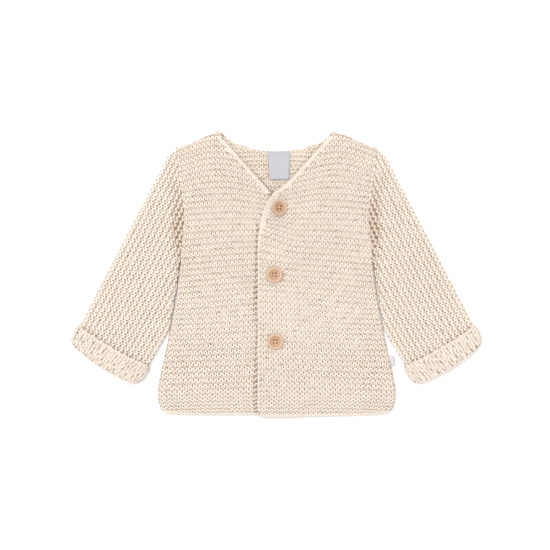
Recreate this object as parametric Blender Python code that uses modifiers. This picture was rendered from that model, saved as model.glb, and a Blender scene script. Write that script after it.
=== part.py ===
# A baby cardigan in garter stitch, laid flat: two fronts lapped over the back, sleeves
# turned down beside the body, cuffs turned back, three turned buttons, a neck label and
# a seam tab. The wearer's left is +X, the neck is towards +Y and the cloth rests on
# z = 0. Sizes are in millimetres until a mesh is written.
import math

import bmesh
import bpy
import numpy as np

MM = 0.001

# Cloth
WALL = 2.6  # thickness of the knitted cloth
GAP = 0.3  # between two pieces that are sewn or lie on each other
AIR = 1.6  # most room left between the back and the fronts
EDGE_WALL = 1.0  # thickness left where a sewn edge is rounded away
SEWN_ROUND = 6.0  # width over which a sewn edge rounds away
FREE_ROUND = 0.45  # how far each face of a free edge is rounded
FREE_WIDTH = 3.0  # width of that rounding
SIDE_DRAPE = 45.0  # width beside a side seam over which the room below a front closes
SHOULDER_DRAPE = 40.0  # the same below a shoulder seam

# Body
LENGTH = 296.0  # shoulder to hem
HEM_HALF = 114.5  # half width of the hem, without its rounded corners
HEM_END = -145.2  # height of the hem where its corners start to round
HEM_RISE = 2.0  # the back and the under front end this much above the lapped front
LAP_EDGE = -19.2  # where the lapped front ends, across the centre line
UNDER_EDGE = 16.0  # where the front beneath it ends
LAP_MARGIN = 3.5  # how far beyond the front beneath it the lapped front stays up
LAP_EASE = 11.0  # width over which it then comes down
SHOULDER_TIP = (105.3, 129.1)  # outer end of the shoulder, at the armhole
NECK_TIP = (57.0, LENGTH / 2)  # inner end of the shoulder, at the neck
PEAK_SHARE = 0.23  # share of a panel's width that its shoulder takes
UNDERARM_SHARE = 0.55  # share of the side below the underarm
UNDERARM_FADE = 0.04  # share over which the side seam gives way to the armhole there
LAP_SHARE = 0.56  # share of the lapped front's free edge below its neck edge
UNDER_SHARE = 0.58  # the same of the front beneath it
NECK_SHARE = 0.965  # share of a free edge where its neck edge bends to the shoulder
BACK_SPACING = 0.055  # between the columns of the back, as a share of its width
LEFT_SPACING = 0.08  # the same for the lapped front
RIGHT_SPACING = 0.1  # and for the front beneath it
LAP_STOPS = (0.13, 0.27)  # columns of the lapped front where it leaves the front beneath it
FIRST_COLUMNS = (0.013, 0.034)  # shares of a panel's width where its edge is rounded
# Rows of every panel, as shares of its side from the hem to the shoulder
ROWS = np.concatenate([[0.0, 0.011, 0.03], np.linspace(0.07, 0.93, 19), [0.965, 0.985, 1.0]])

# Side of the body from the hem to the shoulder: half width, height up the garment
SIDE = (
    (HEM_HALF, HEM_END),
    (120.8, -140.6),
    (124.1, -130.5),
    (123.6, -115.0),
    (119.6, -97.0),
    (115.0, -76.0),
    (111.6, -60.0),
    (107.2, -35.5),
    (103.6, -14.0),
    (99.3, 17.0),
    (95.6, 61.7),
    (100.3, 92.8),
    (103.7, 117.0),
    SHOULDER_TIP,
)

# Shoulder from the neck to the armhole
SHOULDER = (NECK_TIP, (66.0, 146.7), (75.0, 143.6), (87.6, 137.4), (100.0, 131.6), SHOULDER_TIP)

# Neck edges, from the wearer's right to the left where they cross the centre
BACK_NECK = (
    (-57.0, 148.0),
    (-51.6, 143.4),
    (-43.6, 137.4),
    (-23.5, 131.2),
    (-9.0, 128.4),
    (9.0, 128.4),
    (23.5, 131.2),
    (43.6, 137.4),
    (51.6, 143.4),
    (57.0, 148.0),
)
UNDER_NECK = ((16.0, 48.0), (14.6, 58.0), (8.0, 69.0), (-4.7, 83.5), (-30.6, 112.8), (-56.0, 141.5))
LAP_NECK = ((-19.2, 30.0), (-17.3, 54.0), (-12.1, 71.3), (-4.7, 83.2), (12.7, 97.0), (48.2, 136.0))

# Sleeves
SLEEVE_OUTER = (
    (106.4, 129.6),
    (113.5, 123.6),
    (121.8, 106.3),
    (138.4, 75.2),
    (154.6, 44.1),
    (177.2, 0.5),
    (202.0, -48.5),
    (213.4, -73.2),
)
SLEEVE_FREE = ((113.0, -62.0), (118.6, -70.5), (125.2, -81.0), (132.6, -92.8), (139.2, -104.0), (145.2, -115.4))
UNDERARM = (99.3, 17.0)  # where the sleeve's own lower edge starts, on the side
CUFF_FLARE = 1.2  # how much wider each side of the cuff is at its free edge
WRIST_BOW = 4.0  # how far the middle of the wrist stands out beyond its ends
WRIST_REACH = 60.0  # how far up the sleeve that bow fades
NOTCH_CLEAR = 2.0  # how far above the gap beside the body the sleeve follows the body's side

# One row for each section of a sleeve from the armhole to the wrist.
# outer, inner: distance up the sleeve's outer and inner edge from the wrist
# bow: share of the armhole's curve that the section takes
# high: height of the flattened tube; lift: how far it is held off the surface
SLEEVE_COLUMNS = ("outer", "inner", "bow", "high", "lift")
SLEEVE_SECTIONS = (
    (231.5, 143.0, 1.00, 7.1, 0.0),
    (220.0, 137.0, 0.93, 7.3, 0.0),
    (202.0, 129.0, 0.78, 7.5, 0.0),
    (180.0, 119.0, 0.58, 7.7, 0.0),
    (156.0, 108.0, 0.36, 7.8, 0.0),
    (131.0, 96.0, 0.17, 7.8, 0.0),
    (107.0, 83.0, 0.05, 7.7, 0.0),
    (85.0, 70.0, 0.00, 7.5, 0.0),
    (65.0, 57.0, 0.00, 7.3, 0.4),
    (47.0, 45.0, 0.00, 7.1, 1.5),
    (34.0, 34.5, 0.00, 7.0, 2.6),
    (22.3, 24.5, 0.00, 7.0, 2.9),
    (13.5, 15.0, 0.00, 7.0, 2.9),
    (6.5, 7.0, 0.00, 7.0, 2.9),
    (2.6, 2.6, 0.00, 7.0, 2.9),
    (0.0, 0.0, 0.00, 7.0, 2.9),
)
CUFF_ROW = 11  # the section where the turned-back cuff has its free edge
TURN_ROW = 14  # the section where the cloth starts to turn back
# Shares across a flattened sleeve, closer together where it folds at the edges
ACROSS = (0.0, 0.012, 0.035, 0.075, 0.135, 0.21, 0.3, 0.4, 0.5, 0.6, 0.7, 0.79, 0.865, 0.925, 0.965, 0.988, 1.0)
FLATNESS = 7.0  # power of the rounding at a sleeve's folded edges
SETTLED = 1.01  # how much flatter its underside is
TURN_INSETS = (-0.55, 0.35)  # rings of the turn at the wrist, as shares of the wall

# Largest folds on the upper face of a sleeve, measured from the body's side.
# away: distance from the side; half: half width; deep: depth; low, high: where
# along the garment's height the fold starts and ends
FOLD_COLUMNS = ("away", "half", "deep", "low", "high")
SLEEVE_FOLDS = (
    (9.0, 7.0, 1.1, -60.0, 105.0),
    (24.0, 8.0, 0.5, -20.0, 85.0),
)
FOLD_FADE = 30.0  # length over which each end of a fold runs out

# Buttons: centre across and up the garment, and tilt about the garment's length
BUTTON_COLUMNS = ("name", "x", "y", "tilt")
BUTTONS = (
    ("button_top", 1.6, 69.1, 30.0),
    ("button_middle", -2.3, -0.3, 1.5),
    ("button_bottom", -1.2, -69.2, -1.0),
)
BUTTON_RADIUS = 8.5
# Profile of a button from its middle to its rim and back: radius, height
BUTTON_PROFILE = (
    (0.0, 2.1),
    (3.6, 2.1),
    (4.3, 2.5),
    (5.0, 2.3),
    (5.8, 2.4),
    (6.7, 3.3),
    (7.7, 3.3),
    (8.3, 2.8),
    (8.5, 2.0),
    (8.1, 1.0),
    (6.6, 0.2),
    (4.0, 0.0),
    (0.0, 0.0),
)
BUTTON_SIDES = 28
TILT_RAISE = 0.78  # share of its tilt that a button is raised by, so that its low side stays clear
SEAT_SAMPLES = 24  # places round its rim where the cloth below is measured
HOLE_RADIUS = 0.85
HOLE_CIRCLE = 2.2  # from the middle of the button to the middle of a hole
HOLE_COUNT = 4
HOLE_TURN = 45.0
HOLE_SIDES = 10
HOLE_CUT = 12.0  # length of a hole's cutter

# Neck label and seam tab
LABEL_MIDDLE = 2.5
LABEL_TOP = 127.4
LABEL_LENGTH = 28.6
LABEL_TOP_WIDTH = 22.8
LABEL_END_WIDTH = 19.8
LABEL_WALL = 0.7
LABEL_CURL = 0.8  # how far its loose end lifts
TAB_LOW, TAB_HIGH = -94.6, -84.6  # up the garment
TAB_EDGE = 122.8  # how far across the garment its outer edge is
TAB_DROP = 0.4  # how much lower that edge hangs than its seam
TAB_SKEW = 0.8  # how much further out its lower corner reaches
TAB_WALL = 1.5
TAB_BASE = 1.9
RIBBON_ROWS, RIBBON_COLUMNS = 6, 5

CREAM = (0.86, 0.75, 0.63)
WOOD = (0.66, 0.44, 0.28)
LABEL_WHITE = (0.72, 0.72, 0.76)


def smoothstep(share):
    share = np.clip(share, 0.0, 1.0)
    return share * share * (3.0 - 2.0 * share)


def fade(distance, width):
    """1 at a distance of 0, and 0 from width on."""
    return (1.0 - np.clip(distance / width, 0.0, 1.0)) ** 2


def spline(knots, steps=12):
    """A fine smooth line through the knots."""
    knots = np.array(knots, float)
    before, after = 2 * knots[0] - knots[1], 2 * knots[-1] - knots[-2]
    line = np.vstack([before, knots, after])
    t = np.linspace(0.0, 1.0, steps, endpoint=False)[:, None]
    fine = [
        0.5 * (2 * b + (c - a) * t + (2 * a - 5 * b + 4 * c - d) * t**2 + (3 * b - a - 3 * c + d) * t**3)
        for a, b, c, d in zip(line, line[1:], line[2:], line[3:])
    ]
    return np.vstack(fine + [knots[-1:]])


def run_lengths(line):
    return np.concatenate([[0.0], np.cumsum(np.linalg.norm(np.diff(line, axis=0), axis=1))])


def at_length(line, distances):
    """The points of a line at the given distances from its start."""
    lengths = run_lengths(line)
    return np.stack([np.interp(distances, lengths, line[:, k]) for k in range(2)], axis=-1)


def at_share(line, shares):
    return at_length(line, np.asarray(shares) * run_lengths(line)[-1])


def chain(pieces, shares):
    """Points at the given shares of an edge made of (last share, knots) pieces, which keep their corners."""
    shares, start, points = np.asarray(shares), 0.0, np.zeros((len(shares), 2))
    for end, knots in pieces:
        inside = (shares >= start) & (shares <= end)
        points[inside] = at_share(spline(knots), (shares[inside] - start) / (end - start))
        start = end
    return points


def coons(bottom, top, left, right):
    """The grid that four edges enclose: rows from bottom to top, columns from left to right."""
    across = (run_lengths(bottom) / run_lengths(bottom)[-1])[None, :, None]
    up = (run_lengths(left) / run_lengths(left)[-1])[:, None, None]
    ruled = (1 - up) * bottom[None] + up * top[None] + (1 - across) * left[:, None] + across * right[:, None]
    corners = (1 - up) * ((1 - across) * bottom[0] + across * bottom[-1])
    corners = corners + up * ((1 - across) * top[0] + across * top[-1])
    return ruled - corners


def away(grid, edge):
    return np.linalg.norm(grid - edge, axis=-1)


def mirrored(points):
    return [(-x, y) for x, y in points]


def mesh_object(name, points, faces, material, collection):
    mesh = bpy.data.meshes.new(name)
    mesh.from_pydata([tuple(p * MM) for p in points], [], faces)
    work = bmesh.new()
    work.from_mesh(mesh)
    bmesh.ops.recalc_face_normals(work, faces=work.faces)
    work.to_mesh(mesh)
    work.free()
    mesh.shade_smooth()
    mesh.materials.append(material)
    piece = bpy.data.objects.new(name, mesh)
    collection.objects.link(piece)
    return piece


def loft(name, rings, looped, material, collection):
    """Skins closed rings in order. A looped loft joins the last ring to the first; the other kind is a wall
    whose rings run across its upper face and back across its lower face, and its ends are closed."""
    count, size = rings.shape[:2]
    faces = []
    for row in range(count if looped else count - 1):
        following = (row + 1) % count
        for k in range(size):
            nxt = (k + 1) % size
            faces.append((row * size + k, row * size + nxt, following * size + nxt, following * size + k))
    if not looped:
        for base in (0, (count - 1) * size):
            for k in range(size // 2 - 1):
                faces.append((base + k, base + k + 1, base + size - 2 - k, base + size - 1 - k))
    return mesh_object(name, rings.reshape(-1, 3), faces, material, collection)


def wall(name, plan, low, high, material, collection):
    upper = np.concatenate([plan, high[..., None]], axis=-1)
    lower = np.concatenate([plan, low[..., None]], axis=-1)
    rings = np.concatenate([upper, lower[:, ::-1]], axis=1)
    return loft(name, rings, False, material, collection)


def sewn_side():
    """1 along the side seam, 0 along the armhole, for each row of a panel."""
    return smoothstep((UNDERARM_SHARE - ROWS) / UNDERARM_FADE)[:, None]


def columns(stops, spacing):
    """Shares across a panel with a column at every stop, closer at both ends."""
    first, second = FIRST_COLUMNS
    shares = [0.0, first, second]
    for start, end in zip((second, *stops), (*stops, 1 - second)):
        steps = max(1, round((end - start) / spacing))
        shares += [start + (end - start) * k / steps for k in range(1, steps + 1)]
    return np.array(shares + [1 - first, 1.0])


def free_rounding(*distances):
    return sum(FREE_ROUND * fade(distance, FREE_WIDTH) for distance in distances)


def make_back(material, collection):
    shares = columns((PEAK_SHARE, 0.5, 1 - PEAK_SHARE), BACK_SPACING)
    hem_y = -LENGTH / 2 + HEM_RISE
    hem = ((-HEM_HALF, HEM_END), (-90.0, hem_y), (0.0, hem_y), (90.0, hem_y), (HEM_HALF, HEM_END))
    top = ((PEAK_SHARE, mirrored(SHOULDER)[::-1]), (1 - PEAK_SHARE, BACK_NECK), (1.0, SHOULDER))
    side = at_share(spline(SIDE), ROWS)
    bottom, upper = at_share(spline(hem), shares), chain(top, shares)
    plan = coons(bottom, upper, side * (-1, 1), side)
    from_side = np.minimum(away(plan, plan[:, :1]), away(plan, plan[:, -1:]))
    from_top, from_hem = away(plan, plan[-1:]), away(plan, plan[:1])
    shoulder = (np.abs(shares - 0.5) > 0.5 - PEAK_SHARE).astype(float)[None, :]
    rounded = np.maximum(fade(from_side, SEWN_ROUND) * sewn_side(), fade(from_top, SEWN_ROUND) * shoulder)
    free = free_rounding(from_hem) + free_rounding(from_top) * (1 - shoulder)
    low = (WALL - EDGE_WALL) * rounded + free
    high = WALL - free
    return wall("back", plan, low, high, material, collection)


def room_below(from_side, from_shoulder):
    """The air between the back and a front, none along the side seam and the shoulder."""
    return AIR * (1 - fade(from_side, SIDE_DRAPE) * sewn_side()) * (1 - fade(from_shoulder, SHOULDER_DRAPE))


def lap_lift(plan):
    """How far the lapped front is lifted by the front beneath it."""
    x, y = plan[..., 0], plan[..., 1]
    (x0, y0), (x1, y1) = UNDER_NECK[3], UNDER_NECK[5]
    length = math.hypot(x1 - x0, y1 - y0)
    past_neck = ((x - x0) * (y1 - y0) - (y - y0) * (x1 - x0)) / length
    past = np.maximum(x - UNDER_EDGE, past_neck)
    return (WALL + GAP) * (1 - smoothstep((past - LAP_MARGIN) / LAP_EASE))


def front_heights(plan, lifted):
    """Lower and upper faces of a front whose last column is its sewn side."""
    from_side, from_edge = away(plan, plan[:, -1:]), away(plan, plan[:, :1])
    from_top, from_hem = away(plan, plan[-1:]), away(plan, plan[:1])
    rounded = np.maximum(fade(from_side, SEWN_ROUND) * sewn_side(), fade(from_top, SEWN_ROUND))
    free = free_rounding(from_hem, from_edge)
    base = WALL + GAP + room_below(from_side, from_top)
    if lifted:
        base = base + lap_lift(plan)
    return base + free, base + WALL - (WALL - EDGE_WALL) * rounded - free


def front_plan(shares, hem, edge):
    """A front from its free edge (column 0) to its sewn side, built on the wearer's left."""
    side = at_share(spline(SIDE), ROWS)
    shoulder = at_share(spline(SHOULDER), shares)
    return coons(at_share(spline(hem), shares), shoulder, chain(edge, ROWS), side)


def make_front_left(material, collection):
    shares = columns(LAP_STOPS, LEFT_SPACING)
    hem = ((LAP_EDGE, -LENGTH / 2), (20.0, -LENGTH / 2 + 0.2), (90.0, -146.4), (HEM_HALF, HEM_END))
    edge = (
        (LAP_SHARE, ((LAP_EDGE, -LENGTH / 2), (LAP_EDGE, -60.0), LAP_NECK[0])),
        (NECK_SHARE, LAP_NECK),
        (1.0, (LAP_NECK[-1], (53.6, 142.2), NECK_TIP)),
    )
    plan = front_plan(shares, hem, edge)
    low, high = front_heights(plan, True)
    return wall("front_left", plan, low, high, material, collection)


def make_front_right(material, collection):
    shares = columns((), RIGHT_SPACING)
    hem_y = -LENGTH / 2 + HEM_RISE
    hem = ((-UNDER_EDGE, hem_y), (60.0, hem_y), (90.0, hem_y), (HEM_HALF, HEM_END))
    edge = (
        (UNDER_SHARE, ((-UNDER_EDGE, hem_y), (-UNDER_EDGE, -40.0), mirrored(UNDER_NECK)[0])),
        (NECK_SHARE, mirrored(UNDER_NECK)),
        (1.0, (mirrored(UNDER_NECK)[-1], NECK_TIP)),
    )
    plan = front_plan(shares, hem, edge)
    low, high = front_heights(plan, False)
    return wall("front_right", plan * (-1, 1), low, high, material, collection)


def fold_depth(points):
    """How deep the largest folds press a sleeve's upper face in at the given points of the plan."""
    side = spline(SIDE)
    x, y = points[:, 0], points[:, 1]
    from_side = x - np.interp(y, side[:, 1], side[:, 0])
    deep = np.zeros(len(points))
    for row in SLEEVE_FOLDS:
        fold = dict(zip(FOLD_COLUMNS, row))
        ends = smoothstep((y - fold["low"]) / FOLD_FADE) * smoothstep((fold["high"] - y) / FOLD_FADE)
        deep += fold["deep"] * ends * np.exp(-(((from_side - fold["away"]) / fold["half"]) ** 2))
    return deep


def sleeve_lines():
    """The outer edge, the inner edge and the armhole of a sleeve, each from the shoulder or underarm."""
    side = spline(SIDE)
    up = side[:, 1]
    underarm = np.searchsorted(up, UNDERARM[1])
    notch = np.searchsorted(up, SLEEVE_FREE[0][1] + NOTCH_CLEAR)
    beside = side + (GAP, 0.0)
    outer = spline(SLEEVE_OUTER)
    armhole = np.vstack([outer[:1], beside[underarm:-1][::-1]])
    inner = np.vstack([beside[notch : underarm + 1][::-1], spline(SLEEVE_FREE)])
    return outer, inner, armhole


def sleeve_ring(section, inset, spread=0.0):
    """One closed ring of a flattened sleeve, upper face first. A positive inset is inside the cloth."""
    outer, inner, armhole = sleeve_lines()
    row = dict(zip(SLEEVE_COLUMNS, section))
    start = at_length(outer, run_lengths(outer)[-1] - row["outer"])
    end = at_length(inner, run_lengths(inner)[-1] - row["inner"])
    shares = np.array(ACROSS)
    bowed = at_share(armhole, shares)
    straight = armhole[0] + (armhole[-1] - armhole[0]) * shares[:, None]
    line = start + (end - start) * shares[:, None] + row["bow"] * (bowed - straight)
    width = np.linalg.norm(end - start)
    outwards = np.array([start[1] - end[1], end[0] - start[0]]) / width
    near_wrist = 1 - smoothstep(row["outer"] / WRIST_REACH)
    line = line + WRIST_BOW * near_wrist * (1 - (2 * shares - 1) ** 2)[:, None] * outwards
    middle = line[len(line) // 2]
    line = middle + (line - middle) * (1 - 2 * (inset - spread) / width)
    full = np.sqrt(1 - np.abs(2 * shares - 1) ** FLATNESS)
    half = row["high"] / 2 - inset
    centre = row["high"] / 2 + row["lift"]
    upper = centre + half * full
    if row["lift"] == 0.0:
        upper = upper - fold_depth(line) * full
    lower = centre - half * np.minimum(1.0, full * SETTLED)
    return np.vstack([np.c_[line, upper], np.c_[line, lower][-2:0:-1]])


def sleeve_rings():
    """Rings in the order that the cloth's surface takes: down the outside to the wrist, back up under
    the cuff, over its free edge, down the cuff, round the turn, and up the inside to the armhole."""
    rows = SLEEVE_SECTIONS
    last = len(rows) - 1
    flare = {CUFF_ROW: CUFF_FLARE, CUFF_ROW + 1: CUFF_FLARE / 2}
    outside = [(k, 0.0, 0.0) for k in range(TURN_ROW + 1)]
    under_cuff = [(k, -GAP, flare.get(k, 0.0)) for k in range(TURN_ROW, CUFF_ROW - 1, -1)]
    cuff = [(k, -GAP - WALL, flare.get(k, 0.0)) for k in range(CUFF_ROW, TURN_ROW + 1)]
    turn = [(last, share * WALL, 0.0) for share in TURN_INSETS]
    inside = [(k, WALL, 0.0) for k in range(TURN_ROW, -1, -1)]
    order = outside + under_cuff + cuff + turn + inside
    return np.array([sleeve_ring(rows[k], inset, spread) for k, inset, spread in order])


def make_sleeve(name, side, material, collection):
    return loft(name, sleeve_rings() * (side, 1, 1), True, material, collection)


def button_seat(x, y):
    """Height of the lapped front below a button."""
    turn = np.linspace(0.0, 2 * math.pi, SEAT_SAMPLES, endpoint=False)
    disc = np.c_[x + BUTTON_RADIUS * np.cos(turn), y + BUTTON_RADIUS * np.sin(turn)]
    return WALL + GAP + AIR + lap_lift(disc).max() + WALL + GAP


def make_button(row, material, collection, cutters):
    button = dict(zip(BUTTON_COLUMNS, row))
    profile = bpy.data.meshes.new(button["name"])
    edges = [(k, k + 1) for k in range(len(BUTTON_PROFILE) - 1)]
    profile.from_pydata([(r * MM, 0.0, z * MM) for r, z in BUTTON_PROFILE], edges, [])
    piece = bpy.data.objects.new(button["name"], profile)
    collection.objects.link(piece)
    profile.materials.append(material)
    turned = piece.modifiers.new("turned", "SCREW")
    turned.steps = turned.render_steps = BUTTON_SIDES
    turned.use_merge_vertices = True
    turned.merge_threshold = 0.01 * MM
    tilt = math.radians(button["tilt"])
    height = button_seat(button["x"], button["y"]) + abs(math.sin(tilt)) * BUTTON_RADIUS * TILT_RAISE
    piece.location = (button["x"] * MM, button["y"] * MM, height * MM)
    piece.rotation_euler = (0.0, tilt, 0.0)
    for k in range(HOLE_COUNT):
        turn = math.radians(HOLE_TURN + 360 / HOLE_COUNT * k)
        bpy.ops.mesh.primitive_cylinder_add(vertices=HOLE_SIDES, radius=HOLE_RADIUS * MM, depth=HOLE_CUT * MM)
        hole = bpy.context.object
        hole.name = f"{button['name']}_hole_{k + 1}"
        hole.parent = piece
        hole.location = (HOLE_CIRCLE * math.cos(turn) * MM, HOLE_CIRCLE * math.sin(turn) * MM, 0.0)
        hole.hide_render = True
        hole.display_type = "WIRE"
        for home in hole.users_collection:
            home.objects.unlink(hole)
        cutters.objects.link(hole)
        cut = piece.modifiers.new(f"hole {k + 1}", "BOOLEAN")
        cut.operation = "DIFFERENCE"
        cut.object = hole
    return piece


def plate(name, corners, base, thick, curl, material, collection):
    """A thin four-cornered piece of ribbon; its last edge lifts by curl."""
    (a, b), (c, d) = np.array(corners[:2], float), np.array(corners[2:], float)
    down = np.linspace(0.0, 1.0, RIBBON_ROWS)[:, None, None]
    over = np.linspace(0.0, 1.0, RIBBON_COLUMNS)[None, :, None]
    plan = (1 - down) * ((1 - over) * a + over * b) + down * ((1 - over) * d + over * c)
    low = np.broadcast_to(base + curl * down[..., 0] ** 2, plan.shape[:2])
    return wall(name, plan, low, low + thick, material, collection)


def make_label(material, collection):
    top, end = LABEL_TOP_WIDTH / 2, LABEL_END_WIDTH / 2
    corners = (
        (LABEL_MIDDLE - top, LABEL_TOP),
        (LABEL_MIDDLE + top, LABEL_TOP),
        (LABEL_MIDDLE + end, LABEL_TOP - LABEL_LENGTH),
        (LABEL_MIDDLE - end, LABEL_TOP - LABEL_LENGTH),
    )
    return plate("neck_label", corners, WALL + GAP, LABEL_WALL, LABEL_CURL, material, collection)


def make_tab(material, collection):
    side = spline(SIDE)
    low_x, high_x = np.interp((TAB_LOW, TAB_HIGH), side[:, 1], side[:, 0]) + 2 * GAP
    corners = (
        (low_x, TAB_LOW),
        (high_x, TAB_HIGH),
        (TAB_EDGE, TAB_HIGH - TAB_DROP),
        (TAB_EDGE + TAB_SKEW, TAB_LOW - TAB_DROP),
    )
    return plate("side_tab", corners, TAB_BASE, TAB_WALL, 0.0, material, collection)


def make_material(name, colour, roughness):
    material = bpy.data.materials.new(name)
    material.use_nodes = True
    shader = material.node_tree.nodes["Principled BSDF"]
    shader.inputs["Base Color"].default_value = (*colour, 1.0)
    shader.inputs["Roughness"].default_value = roughness
    shader.inputs["Metallic"].default_value = 0.0
    return material


def main():
    for old in list(bpy.data.objects):
        bpy.data.objects.remove(old)
    cardigan = bpy.data.collections.new("baby_cardigan")
    cutters = bpy.data.collections.new("cutters")
    for collection in (cardigan, cutters):
        bpy.context.scene.collection.children.link(collection)

    make_back(make_material("knit_back", CREAM, 0.9), cardigan)
    make_front_right(make_material("knit_front_right", CREAM, 0.9), cardigan)
    make_front_left(make_material("knit_front_left", CREAM, 0.9), cardigan)
    make_sleeve("sleeve_left", 1, make_material("knit_sleeve_left", CREAM, 0.9), cardigan)
    make_sleeve("sleeve_right", -1, make_material("knit_sleeve_right", CREAM, 0.9), cardigan)
    for row in BUTTONS:
        make_button(row, make_material(f"wood_{row[0]}", WOOD, 0.5), cardigan, cutters)
    make_label(make_material("label_ribbon", LABEL_WHITE, 0.6), cardigan)
    make_tab(make_material("tab_ribbon", LABEL_WHITE, 0.6), cardigan)


main()
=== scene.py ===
import math

import bmesh
import bpy
import numpy as np
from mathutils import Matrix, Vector
from mathutils.bvhtree import BVHTree


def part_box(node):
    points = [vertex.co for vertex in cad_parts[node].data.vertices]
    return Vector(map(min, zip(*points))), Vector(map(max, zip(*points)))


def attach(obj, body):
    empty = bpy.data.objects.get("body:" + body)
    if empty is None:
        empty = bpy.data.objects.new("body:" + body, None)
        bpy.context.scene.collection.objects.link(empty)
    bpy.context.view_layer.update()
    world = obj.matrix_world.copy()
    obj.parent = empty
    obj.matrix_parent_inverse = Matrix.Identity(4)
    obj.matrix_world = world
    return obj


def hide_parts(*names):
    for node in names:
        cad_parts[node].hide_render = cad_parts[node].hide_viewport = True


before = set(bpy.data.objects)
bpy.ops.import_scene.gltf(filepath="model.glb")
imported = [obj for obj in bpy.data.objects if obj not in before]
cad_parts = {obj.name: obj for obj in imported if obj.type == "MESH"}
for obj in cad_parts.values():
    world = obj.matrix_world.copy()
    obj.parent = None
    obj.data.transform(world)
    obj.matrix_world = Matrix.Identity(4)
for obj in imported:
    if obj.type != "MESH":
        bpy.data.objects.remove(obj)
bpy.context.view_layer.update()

mm = 0.001
dice = np.random.default_rng(11)

# The garment lies flat with its neck towards +Y. Lengths below are in millimetres.


def pickOnly(piece):
    bpy.ops.object.select_all(action="DESELECT")
    piece.select_set(True)
    bpy.context.view_layer.objects.active = piece


def openMesh(piece):
    pickOnly(piece)
    bpy.ops.object.mode_set(mode="EDIT")
    bpy.ops.mesh.select_all(action="SELECT")


def closeMesh():
    bpy.ops.object.mode_set(mode="OBJECT")


def readPoints(mesh):
    points = np.empty(len(mesh.vertices) * 3)
    mesh.vertices.foreach_get("co", points)
    return points.reshape(-1, 3) / mm


def smooth(share):
    share = np.clip(share, 0.0, 1.0)
    return share * share * (3.0 - 2.0 * share)


def unit(vectors):
    return vectors / np.maximum(np.linalg.norm(vectors, axis=-1, keepdims=True), 1e-6)


def runAlong(points):
    # distance from the first point along a line through them
    return np.concatenate([[0.0], np.cumsum(np.linalg.norm(np.diff(points, axis=0), axis=1))])


def steadyNoise(x, y, size, seed):
    # slow unevenness between -1 and 1 from a few crossed waves
    waves = np.random.default_rng(seed)
    total = 0.0
    for _ in range(5):
        turn = waves.uniform(0, math.tau)
        scale = size * waves.uniform(0.7, 1.5)
        total = total + np.sin((x * math.cos(turn) + y * math.sin(turn)) * math.tau / scale
                               + waves.uniform(0, math.tau))
    return total / 2.6


def treeOf(piece):
    mesh = piece.data
    points = readPoints(mesh)
    mesh.calc_loop_triangles()
    corners = [tuple(t.vertices) for t in mesh.loop_triangles]
    return BVHTree.FromPolygons([Vector(p) for p in points], corners)


def meshPiece(name, points, faces, material, attributes=None):
    mesh = bpy.data.meshes.new(name)
    mesh.from_pydata((np.asarray(points) * mm).tolist(), [], np.asarray(faces).tolist())
    for label, values in (attributes or {}).items():
        values = np.asarray(values, float)
        kind = "FLOAT_VECTOR" if values.ndim == 2 else "FLOAT"
        layer = mesh.attributes.new(label, kind, "POINT")
        layer.data.foreach_set("vector" if values.ndim == 2 else "value", values.ravel())
    mesh.shade_smooth()
    mesh.materials.append(material)
    piece = bpy.data.objects.new(name, mesh)
    bpy.context.scene.collection.objects.link(piece)
    return piece


def rideWith(piece):
    # the whole garment is one body
    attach(piece, "root")
    return piece


def copyNode(node, ending, apart):
    # a copy of a CAD node with its loose triangles merged, without a material
    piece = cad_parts[node].copy()
    piece.data = piece.data.copy()
    piece.name = piece.data.name = node + ending
    bpy.context.scene.collection.objects.link(piece)
    openMesh(piece)
    bpy.ops.mesh.remove_doubles(threshold=apart * mm)
    bpy.ops.mesh.normals_make_consistent(inside=False)
    closeMesh()
    piece.data.materials.clear()
    return piece


def newMaterial(name):
    material = bpy.data.materials.new(name)
    material.use_nodes = True
    return material, material.node_tree, material.node_tree.nodes["Principled BSDF"]


def setSockets(shader, values):
    for label, value in values.items():
        shader.inputs[label].default_value = value


overheadView = {
    "lens": 85.0,
    "sensor": 36.0,
    "centre": (-1.6, -0.5),
    "across": 570.4,  # width of the view at the cloth
    "cloth": 7.0,  # height of the cloth that this is measured at
}


def setCamera():
    distance = overheadView["across"] * overheadView["lens"] / overheadView["sensor"]
    x, y = overheadView["centre"]
    place = (x * mm, y * mm, (distance + overheadView["cloth"]) * mm)
    bpy.ops.object.camera_add(location=place, rotation=(0.0, 0.0, 0.0))
    camera = bpy.context.object
    camera.name = "overheadCamera"
    camera.data.lens = overheadView["lens"]
    camera.data.sensor_width = overheadView["sensor"]
    camera.data.clip_start = 0.05
    bpy.context.scene.camera = camera


studio = {
    "dome": 0.97,
    "key": 120.0,
    "keyPlace": (-0.9, 0.9, 4.1),
    "keySize": 2.4,
    "floor": (0.93, 0.93, 0.93),
}


def setStudio():
    scene = bpy.context.scene
    scene.view_settings.view_transform = "Standard"
    world = bpy.data.worlds.new("paleDome")
    world.use_nodes = True
    world.node_tree.nodes["Background"].inputs["Color"].default_value = (1.0, 0.995, 0.985, 1.0)
    world.node_tree.nodes["Background"].inputs["Strength"].default_value = studio["dome"]
    scene.world = world
    bpy.ops.object.light_add(type="AREA", location=studio["keyPlace"])
    key = bpy.context.object
    key.name = "softKey"
    key.data.shape = "SQUARE"
    key.data.size = studio["keySize"]
    key.data.energy = studio["key"]
    key.rotation_euler = Vector(studio["keyPlace"]).to_track_quat("Z", "Y").to_euler()
    bpy.ops.object.select_all(action="DESELECT")
    bpy.ops.mesh.primitive_plane_add(size=6.0, location=(0.0, 0.0, 0.0))
    floor = bpy.context.object
    floor.name = "floor"
    material, _, shader = newMaterial("paleFloor")
    setSockets(shader, {"Base Color": (*studio["floor"], 1.0), "Roughness": 0.9, "Specular IOR Level": 0.1})
    floor.data.materials.append(material)


setCamera()
setStudio()
print("camera and studio set")


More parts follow.
